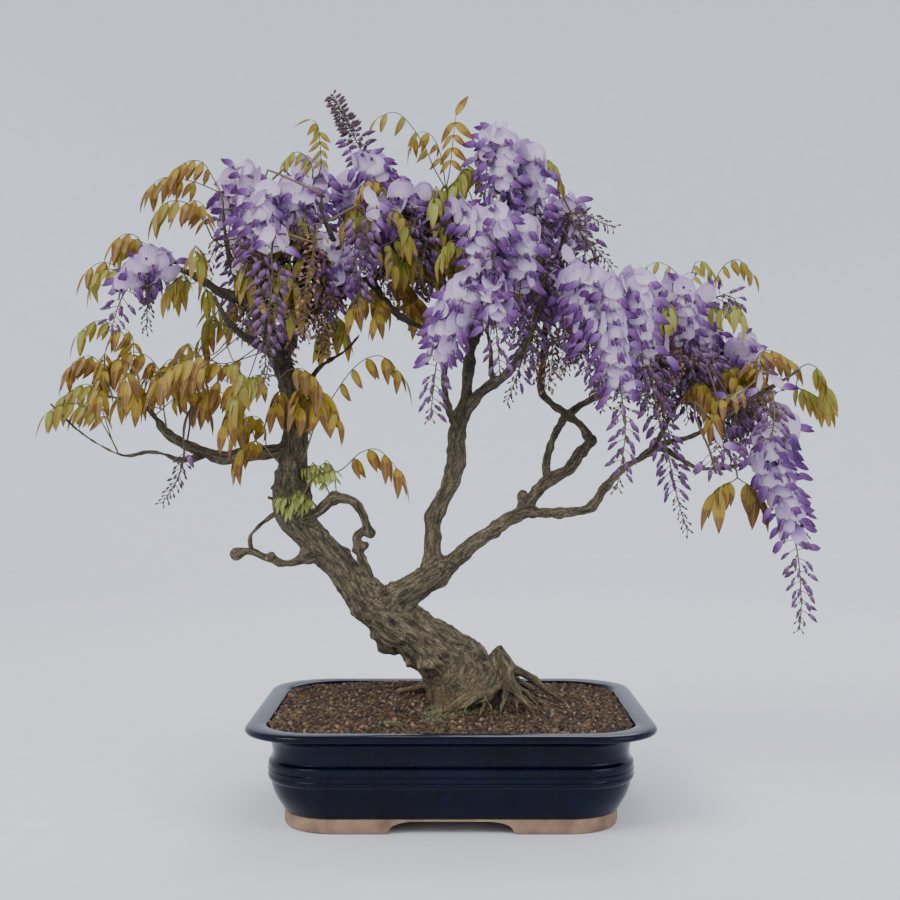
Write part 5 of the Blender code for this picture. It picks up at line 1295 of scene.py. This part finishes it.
def calyx_form():
    return spindle([((0.0, 0.0, -0.1), 0.0), ((0.0, 0.0, -0.03), 0.055),
                    ((0.0, 0.0, 0.08), 0.1), ((0.0, 0.0, 0.1), 0.0)], 6, BUD)


def open_flower_form(rng):
    spread = 0.1 + rng.uniform(-0.03, 0.06)
    return joined(standard_form(rng, 0.0), *wing_forms(rng, spread), keel_form(), calyx_form())


def half_open_form(rng):
    return joined(standard_form(rng, 0.55), *wing_forms(rng, 0.04), calyx_form())


def closed_form(rng):
    """A closed flower: a bent boat, in units of its length, along +Z and drooping to -Y."""
    bend = rng.uniform(0.15, 0.35)
    radii = [0.0, 0.13, 0.19, 0.18, 0.11, 0.0]
    stations = []
    for index, radius in enumerate(radii):
        b = index / (len(radii) - 1)
        stations.append(((0.0, -bend * b * b, b), radius))
    boat = spindle(stations, 5, CLOSED)
    boat.points[:, 0] *= 0.8
    cup = spindle([((0, 0, -0.08), 0.0), ((0, 0, 0.14), 0.17), ((0, 0, 0.2), 0.0)], 5, BUD)
    return joined(boat, cup)


def bud_form(rng):
    bend = rng.uniform(0.0, 0.25)
    return spindle([((0.0, 0.0, 0.0), 0.0), ((0.0, 0.0, 0.2), 0.15),
                    ((0.0, -bend * 0.3, 0.6), 0.22), ((0.0, -bend, 1.0), 0.0)], 5, BUD)


def dry_form(rng):
    """A calyx that has lost its petals, with a shrivelled rag at its mouth."""
    return spindle([((0.0, 0.0, 0.0), 0.0), ((0.0, 0.0, 0.2), 0.18), ((0.03, 0.0, 0.5), 0.26),
                    ((rng.uniform(-0.3, 0.3), -0.25, 1.0), 0.0)], 5, DRY)


class Bouquet:
    """A few variants of each kind of flower, drawn once and used over and over."""

    def __init__(self, rng):
        self.open = [open_flower_form(rng) for _ in range(8)]
        self.half = [half_open_form(rng) for _ in range(4)]
        self.closed = [closed_form(rng) for _ in range(5)]
        self.bud = [bud_form(rng) for _ in range(3)]
        self.dry = [dry_form(rng) for _ in range(4)]


def facing(out, rng, tilt):
    """Side, up and out directions of a flower that faces out, with a little tilt."""
    out = (out + Vector([rng.uniform(-tilt, tilt) for _ in range(3)])).normalized()
    side = UP.cross(out)
    if side.length < 0.1:
        side = Vector((1.0, 0.0, 0.0)).cross(out)
    side.normalize()
    return side, out.cross(side).normalized(), out


def add_stalked(cluster, form, start, way, stalk, size, tone, rng, tilt=0.25):
    """One flower on its own bent stalk."""
    droop = Vector((0.0, 0.0, -0.12 * stalk))
    middle = start + way * stalk * 0.55
    end = start + way * stalk + droop
    stem_tone = rng.uniform(0.1, 0.9)
    skin = DRY if form.slots[0] == DRY else STEM
    cluster.add(tube([start, middle, end], STALK_RADII, 3, skin), stem_tone)
    out = (way + droop.normalized() * 0.25).normalized()
    cluster.add(form, tone, end, basis_of(*facing(out, rng, tilt), size))


def grow_raceme(cluster, stage, path, bouquet, rng):
    """Flowers round the rachis in a spiral, oldest at its foot."""
    spacing, open_until, closed_until = STAGES[stage]
    length = line_length(path)
    radii = taper(path, *RACHIS_RADII)
    if stage == "faded":
        radii = radii * 0.7
    cluster.add(tube(path, radii, 5, STEM), rng.uniform(0.0, 0.8))
    along = BARE_FOOT * length
    angle = rng.uniform(0.0, TURN)
    while along < length:
        share = along / length
        point, direction = point_at(path, share)
        angle += GOLDEN_ANGLE + rng.uniform(-0.2, 0.2)
        around = radial(direction, angle)
        age = share + rng.uniform(-0.06, 0.06)
        ease = 1.0 - 0.45 * share
        if stage == "faded":
            way = (around + direction * 0.4).normalized()
            stalk = PEDICEL_LENGTH * rng.uniform(0.4, 0.75) * ease
            form = rng.choice(bouquet.dry)
            add_stalked(cluster, form, point, way, stalk, DRY_LENGTH, rng.random(), rng, 0.5)
            along += spacing * MM
            continue
        if age < open_until:
            way = (around + UP * 0.2).normalized()
            stalk = PEDICEL_LENGTH * ease * rng.uniform(0.75, 1.1)
            form = rng.choice(bouquet.open if age < open_until * 0.82 else bouquet.half)
            size = FLOWER_SIZE * (1.0 - 0.22 * share) * rng.uniform(0.9, 1.08)
            tone = min(1.0, max(0.0, 0.95 * share + rng.uniform(-0.15, 0.3)))
        elif age < closed_until:
            way = (around + direction * 0.35).normalized()
            stalk = PEDICEL_LENGTH * 0.8 * ease
            size = CLOSED_LENGTH * (1.0 - 0.35 * share) * rng.uniform(0.85, 1.1)
            form = rng.choice(bouquet.closed)
            tone = rng.random()
        else:
            way = (around + direction * 0.6).normalized()
            stalk = PEDICEL_LENGTH * 0.45 * ease
            size = BUD_LENGTH * (1.15 - 0.55 * share) * rng.uniform(0.85, 1.15)
            if stage == "upright":
                size *= UPRIGHT_BUDS
                along -= spacing * MM * 0.35
            form = rng.choice(bouquet.bud)
            tone = rng.random() * 0.6
            along -= spacing * MM * 0.15
        add_stalked(cluster, form, point, way, stalk, size, tone, rng)
        along += spacing * MM * (1.0 if age < open_until else 0.9)


def companion(path, rng):
    """A shorter raceme from the same foot, hanging a little to one side."""
    aside = Vector((rng.choice((-1, 1)) * rng.uniform(10, 18) * MM, rng.uniform(-16, 16) * MM, 0.0))
    last = max(2, int(len(path) * rng.uniform(0.55, 0.8)))
    return [point + aside * min(1.0, index / 3.0) for index, point in enumerate(path[:last])]


def within(centre, reach, rng):
    """A point drawn inside a rounded patch of the crown."""
    while True:
        drawn = [rng.uniform(-1.0, 1.0) for _ in range(3)]
        if sum(value * value for value in drawn) <= 1.0:
            return seen(*[middle + half * value for middle, half, value in zip(centre, reach, drawn)])


def grow_spray(cluster, racemes, wood, bouquet, rng):
    """Racemes that hang together: the first starts on the wood, the others on the first."""
    first = None
    for stage, route in racemes:
        given = seen_route(route)
        if first is None:
            start = wood.nearest(given[0])
        else:
            start = min(first, key=lambda point: (point - given[0]).length)
        path = curve_through([start] + given, FLOWER_CURVE_STEP)
        foot = line_length(path) - line_length(curve_through(given, FLOWER_CURVE_STEP))
        bare = [point for point in path if (point - start).length < foot * 0.9]
        if len(bare) > 1:
            cluster.add(tube(bare, [PEDUNCLE_RADIUS] * len(bare), 5, STEM), rng.uniform(0.2, 0.8))
            path = path[len(bare) - 1:]
        grow_raceme(cluster, stage, path, bouquet, rng)
        first = first or path
        if stage == "full":
            grow_raceme(cluster, stage, companion(path, rng), bouquet, rng)


def grow_thicket(cluster, stages, count, centre, reach, wood, bouquet, rng):
    for _ in range(count):
        target = within(centre, reach, rng)
        start = wood.nearest(target)
        if (start - target).length > THICKET_STALK:
            continue
        fall = rng.uniform(*THICKET_FALL)
        sway = Vector((rng.gauss(0.0, 0.25), rng.gauss(0.0, 0.25), -1.0)) * fall
        path = curve_through([start, target, target + sway])
        grow_raceme(cluster, rng.choice(stages), path, bouquet, rng)


def make_racemes(wood, materials, rng):
    bouquet = Bouquet(rng)
    for name, racemes in RACEMES:
        cluster = Cluster()
        grow_spray(cluster, racemes, wood, bouquet, rng)
        cluster.stand("spray_" + name, materials, "petal", "raceme_" + name)
    for name, slot, stages, count, centre, reach in THICKETS:
        cluster = Cluster()
        grow_thicket(cluster, stages, count, centre, reach, wood, bouquet, rng)
        cluster.stand("thicket_" + name, materials, slot)


# Leaves

TONES = ["bronze", "olive", "young", "fresh"]
LEAF_STEM = len(TONES)
LEAFLET_WIDTH = 0.175
LEAFLET_STRETCH = 1.12
FIRST_PAIR = 0.4
PAIRS_SPAN = 0.52
STEM_RADII = (1.3 * MM, 0.9 * MM)
RIB_RADII = (0.75 * MM, 0.4 * MM)

# Leafy patches of the crown: name, tone, count, middle and reach in mm (across, up, depth).
LEAF_STALK = 90 * MM
LEAF_FALL = (24 * MM, 40 * MM)
LEAFLET_LENGTHS = (24, 32)
FRESH_SHARE = 0.42
LEAF_PATCHES = [
    ("trunk_tuft", "fresh", 8, (-162, 312, -36), (24, 11, 10)),
    ("loop_tuft", "fresh", 7, (-138, 340, -28), (18, 13, 10)),
    ("upper_left", "olive", 10, (-250, 545, 0), (46, 58, 70)),
    ("low_left", "bronze", 14, (-285, 446, 0), (88, 30, 62)),
    ("trunk_front", "bronze", 8, (-185, 415, -30), (52, 34, 30)),
    ("inner_left", "olive", 8, (-180, 520, 0), (60, 50, 60)),
    ("left_front", "olive", 8, (-185, 575, -60), (66, 56, 22)),
    ("bridge", "olive", 14, (-52, 592, 0), (80, 48, 64)),
    ("under_bridge", "bronze", 5, (-78, 528, -10), (40, 22, 40)),
    ("crown_top", "young", 6, (20, 632, 0), (40, 28, 50)),
    ("middle", "olive", 6, (95, 540, 0), (60, 56, 60)),
    ("right_top", "young", 7, (225, 520, 0), (66, 28, 50)),
    ("right", "bronze", 8, (290, 440, 0), (60, 30, 50)),
]


def leaflet_form(rng, slot):
    """A pointed leaflet in units of its length, along +Z, folded along its midrib."""
    fold = rng.uniform(0.25, 0.6)
    arch = rng.uniform(0.05, 0.24)
    twist = rng.uniform(-0.25, 0.25)

    def surface(a, b):
        width = LEAFLET_WIDTH * math.sin(math.pi * b ** 0.8) ** 0.85 * (1.0 - 0.25 * b)
        return a * width, abs(a) * width * fold - arch * b * b + twist * a * width * b, b

    return sheet(surface, 4, 7, slot)


def add_leaflet(cluster, forms, start, way, broad, size, rng):
    side = (broad - way * broad.dot(way)).normalized()
    up = way.cross(side)
    if up.z < 0.0:
        side, up = -side, -up
    cluster.add(rng.choice(forms), rng.random(), start, basis_of(side, up, way, size))


def grow_leaf(cluster, pairs, length, forms, path, rng):
    """Leaflets hang in pairs from the rib, with one at its tip."""
    cluster.add(tube(path, taper(path, *RIB_RADII), 4, LEAF_STEM), rng.uniform(0.0, 0.7))
    roll = rng.uniform(-0.4, 0.4)
    for pair in range(pairs):
        share = FIRST_PAIR + PAIRS_SPAN * pair / max(1, pairs - 1)
        point, direction = point_at(path, share)
        beside = direction.cross(UP)
        if beside.length < 0.3:
            beside = direction.cross(Vector((0.3, 1.0, 0.0)))
        beside.normalize()
        size = length * LEAFLET_STRETCH * (1.0 - 0.06 * (pairs - 1 - pair)) * rng.uniform(0.85, 1.08)
        for side in (-1.0, 1.0):
            turn = roll * side + rng.uniform(-0.25, 0.25)
            lift = beside.cross(direction)
            splay = beside * side * math.cos(turn) + lift * math.sin(turn)
            way = (splay * 0.52 + direction * 0.4 + DOWN * 0.9).normalized()
            add_leaflet(cluster, forms, point, way, direction, size, rng)
    tip, direction = point_at(path, 1.0)
    way = (direction + DOWN * 0.8).normalized()
    add_leaflet(cluster, forms, tip, way, beside + direction * 0.8, length * 1.1, rng)


def grow_shoot(cluster, stem, leaves, wood, forms, rng):
    given = seen_route(stem)
    path = curve_through([wood.nearest(given[0])] + given)
    cluster.add(tube(path, taper(path, *STEM_RADII), 5, LEAF_STEM), rng.uniform(0.0, 0.5))
    for pairs, length, tone, route in leaves:
        rib = curve_through([path[-1]] + seen_route(route))
        grow_leaf(cluster, pairs + 1, length * MM, forms[tone], rib, rng)


def grow_leaf_patch(cluster, tone, count, centre, reach, wood, forms, rng):
    """Single leaves on long stalks, arching away from the wood."""
    scale = FRESH_SHARE if tone == "fresh" else 1.0
    for _ in range(count):
        target = within(centre, reach, rng)
        start = wood.nearest(target)
        away = target - start
        away.z = 0.0
        if away.length < 1 * MM or (target - start).length > LEAF_STALK:
            continue
        length = rng.uniform(*LEAF_FALL) * scale
        arch = target + away.normalized() * length * 0.6 + Vector((0.0, 0.0, 6 * MM))
        end = arch + away.normalized() * length * 0.45 - Vector((0.0, 0.0, length * 0.5))
        rib = curve_through([start, target, arch, end])
        pairs = rng.randint(4, 5)
        grow_leaf(cluster, pairs, rng.uniform(*LEAFLET_LENGTHS) * MM * scale, forms[tone], rib, rng)


def make_shoots(wood, materials, rng):
    forms = {tone: [leaflet_form(rng, slot) for _ in range(6)] for slot, tone in enumerate(TONES)}
    for name, stem, leaves in SHOOTS:
        cluster = Cluster()
        grow_shoot(cluster, stem, leaves, wood, forms, rng)
        cluster.stand("shoot_" + name, materials, "leaf", "leaves_" + name)
    for name, tone, count, centre, reach in LEAF_PATCHES:
        cluster = Cluster()
        grow_leaf_patch(cluster, tone, count, centre, reach, wood, forms, rng)
        cluster.stand("leafy_" + name, materials, "leaf")


# Soil

GRAIN_PITCH = 3.9 * MM
GRAIN_SIZES = (1.1 * MM, 2.7 * MM)
LOWEST_GRAIN = 90 * MM
CRUMB_EDGE = 2.1

# Moss cushions: across, up, depth and radius, in mm.
MOSS_PATCHES = [
    (2, 104, -40, 20), (30, 104, -40, 14), (-12, 101, -60, 15), (6, 102, -52, 11),
    (-20, 100, -84, 9), (-62, 99, -92, 8), (60, 99, -70, 7),
]
MOSS_BLADES = 1.6
MOSS_STRETCH = 1.3
MOSS_RISE = 1.8 * MM
MOSS_SIZES = (1.8, 3.6)


def grain_form(rng):
    """A crumb with twenty faces, knocked out of round."""
    golden = (1.0 + math.sqrt(5.0)) / 2.0
    corners = []
    for a in (-1.0, 1.0):
        for b in (-golden, golden):
            corners += [Vector((0.0, a, b)), Vector((a, b, 0.0)), Vector((b, 0.0, a))]
    points = [corner * rng.uniform(0.4, 0.62) for corner in corners]
    faces = []
    for a, b, c in combinations(range(len(corners)), 3):
        sides = (corners[a] - corners[b], corners[b] - corners[c], corners[c] - corners[a])
        if max(side.length for side in sides) > CRUMB_EDGE:
            continue
        normal = (points[b] - points[a]).cross(points[c] - points[a])
        faces.append((a, b, c) if normal.dot(points[a]) > 0.0 else (a, c, b))
    return Form(points, faces, 0, [(0.5, 0.5)] * len(points))


def random_basis(rng, size):
    out = Vector([rng.gauss(0.0, 1.0) for _ in range(3)]).normalized()
    side = across_to(out)
    return basis_of(side, out.cross(side), out, size)


def make_soil(soil, rng):
    """Crumbs of four colours, one near each point of a shaken grid over the soil."""
    dress(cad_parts["soil"], soil_bed())
    forms = [grain_form(rng) for _ in range(8)]
    kinds = [
        ("brown", 0.56, srgb(52, 40, 30), srgb(102, 82, 60)),
        ("rust", 0.14, srgb(70, 48, 32), srgb(112, 78, 50)),
        ("tan", 0.1, srgb(98, 84, 64), srgb(142, 124, 98)),
        ("dark", 0.2, srgb(32, 27, 23), srgb(62, 53, 45)),
    ]
    clusters = [Cluster() for _ in kinds]
    weights = [weight for _, weight, _, _ in kinds]
    rows = int(RIM_DEPTH / GRAIN_PITCH)
    columns = int(RIM_LENGTH / GRAIN_PITCH)
    for row in range(rows):
        for column in range(columns):
            x = (column - columns / 2.0 + rng.uniform(0.0, 1.0)) * GRAIN_PITCH
            y = (row - rows / 2.0 + rng.uniform(0.0, 1.0)) * GRAIN_PITCH
            hit, normal, _, _ = soil.ray_cast(PLANT_ORIGIN + Vector((x, y, 0.2)), DOWN)
            if hit is None or normal.z < 0.5 or hit.z < PLANT_ORIGIN.z + LOWEST_GRAIN:
                continue
            size = rng.uniform(*GRAIN_SIZES)
            hit.z += size * rng.uniform(-0.2, 0.5)
            cluster = rng.choices(clusters, weights)[0]
            cluster.add(rng.choice(forms), rng.random(), hit, random_basis(rng, size))
    for cluster, (name, _, dark, light) in zip(clusters, kinds):
        grain = soil_grain("soil_" + name, dark, light)
        cluster.stand("soil_grains_" + name, [grain], "substrate", smooth=False)


def make_moss(soil, rng):
    """Low cushions of moss near the trunk: short leaning blades on the soil."""
    cluster = Cluster()
    blade = spindle([((0.0, 0.0, 0.0), 0.0), ((0.0, 0.05, 0.3), 0.16), ((0.0, 0.2, 1.0), 0.0)], 3, 0)
    for across, up, depth, reach in MOSS_PATCHES:
        middle = seen(across, up, depth)
        for _ in range(int(reach * reach * MOSS_BLADES)):
            angle = rng.uniform(0.0, TURN)
            out = reach * MM * math.sqrt(rng.random())
            above = Vector((middle.x + out * math.cos(angle) * MOSS_STRETCH,
                            middle.y + out * math.sin(angle), 0.3))
            hit = soil.ray_cast(above, DOWN)[0]
            if hit is None:
                continue
            lift = MOSS_RISE * (1.0 - (out / (reach * MM)) ** 2)
            way = Vector((rng.gauss(0.0, 0.5), rng.gauss(0.0, 0.5), 1.0)).normalized()
            side = across_to(way)
            tone = rng.random()
            basis = basis_of(side, way.cross(side), way, rng.uniform(*MOSS_SIZES) * MM)
            cluster.add(blade, tone, hit + UP * lift, basis)
    cluster.stand("moss", [moss_skin()], "substrate")


# Studio

BOWL_SIDES = 96
BOWL_FLOOR = 2.2
BOWL_CURVE = 0.9
BOWL_HEIGHT = 2.2
LOOKED_AT = Vector((0.0, 0.0, 0.35))


def make_backdrop():
    """A round paper bowl: flat under the plant and curving up far away on every side."""
    profile = [(1.6, 0.0), (BOWL_FLOOR, 0.0)]
    for step in range(1, 9):
        turn = math.pi / 2.0 * step / 8
        profile.append((BOWL_FLOOR + BOWL_CURVE * math.sin(turn), BOWL_CURVE * (1.0 - math.cos(turn))))
    profile.append((BOWL_FLOOR + BOWL_CURVE, BOWL_HEIGHT))
    points = [(0.0, 0.0, 0.0)]
    for reach, height in profile:
        points += [(reach * cosine, reach * sine, height) for cosine, sine in circle(BOWL_SIDES)]
    faces = [(0, 1 + step, 1 + (step + 1) % BOWL_SIDES) for step in range(BOWL_SIDES)]
    faces += [(a, d, c, b) for a, b, c, d in bands(1, len(points) - BOWL_SIDES, BOWL_SIDES)]
    mesh = bpy.data.meshes.new("studio_bowl")
    mesh.from_pydata(points, [], faces)
    mesh.shade_smooth()
    mesh.materials.append(studio_paper())
    bowl = placed("studio_bowl", mesh)
    bowl.location = (0.0, 0.0, POT_LOW[2])


def area_light(name, place, size, power, colour):
    data = bpy.data.lights.new(name, "AREA")
    data.shape = "DISK"
    data.size = size
    data.energy = power
    data.color = colour
    light = placed(name, data)
    light.location = place
    light.rotation_euler = (LOOKED_AT - Vector(place)).to_track_quat("-Z", "Y").to_euler()


def make_camera():
    data = bpy.data.cameras.new("camera")
    data.lens = LENS_MM
    camera = placed("camera", data)
    camera.location = PLANT_ORIGIN + Vector((EYE_ACROSS, -EYE_DISTANCE, EYE_HEIGHT))
    camera.rotation_euler = (math.radians(90.0), 0.0, 0.0)
    bpy.context.scene.camera = camera


def make_studio():
    make_backdrop()
    area_light("key_light", (-1.5, -1.5, 2.3), 1.7, 58.0, (1.0, 0.98, 0.95))
    area_light("fill_light", (1.9, -1.3, 1.5), 1.8, 24.0, (0.94, 0.97, 1.0))
    area_light("back_light", (0.4, 1.9, 2.2), 1.8, 30.0, (0.97, 0.98, 1.0))
    world = bpy.data.worlds.new("studio_air")
    world.use_nodes = True
    background = world.node_tree.nodes["Background"]
    background.inputs["Color"].default_value = (0.86, 0.9, 1.0, 1.0)
    background.inputs["Strength"].default_value = 0.75
    bpy.context.scene.world = world
    make_camera()


def petal_materials():
    """In the order of the flowers' slots."""
    return [
        standard_petal(),
        violet_petal("wing_petal", srgb(206, 174, 216), srgb(146, 96, 172), srgb(96, 48, 112)),
        violet_petal("closed_petal", srgb(198, 166, 204), srgb(138, 92, 152), srgb(88, 48, 90)),
        bud_skin(),
        green_stem(),
        dry_flower(),
    ]


def leaf_materials():
    """In the order of the leaves' tones, and then their stems."""
    return [
        leaf_blade("bronze_leaf", srgb(158, 146, 34), srgb(156, 124, 22), srgb(118, 80, 18)),
        leaf_blade("olive_leaf", srgb(128, 140, 44), srgb(136, 132, 34), srgb(136, 112, 26)),
        leaf_blade("young_leaf", srgb(150, 162, 70), srgb(148, 152, 56), srgb(156, 144, 52)),
        leaf_blade("fresh_leaf", srgb(126, 142, 58), srgb(140, 152, 68), srgb(160, 166, 84)),
        green_stem(),
    ]


def main():
    rng = random.Random(SEED)
    soil_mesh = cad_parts["soil"].data
    soil = BVHTree.FromPolygons([vertex.co for vertex in soil_mesh.vertices],
                                [tuple(face.vertices) for face in soil_mesh.polygons])
    make_studio()
    make_pot()
    wood = Wood(soil)
    make_tree(wood)
    make_racemes(wood, petal_materials(), rng)
    make_shoots(wood, leaf_materials(), rng)
    make_soil(soil, rng)
    make_moss(soil, rng)
    plastic = screen_plastic()
    for side in ("left", "right"):
        dress(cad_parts["drain_screen_" + side], plastic)


main()
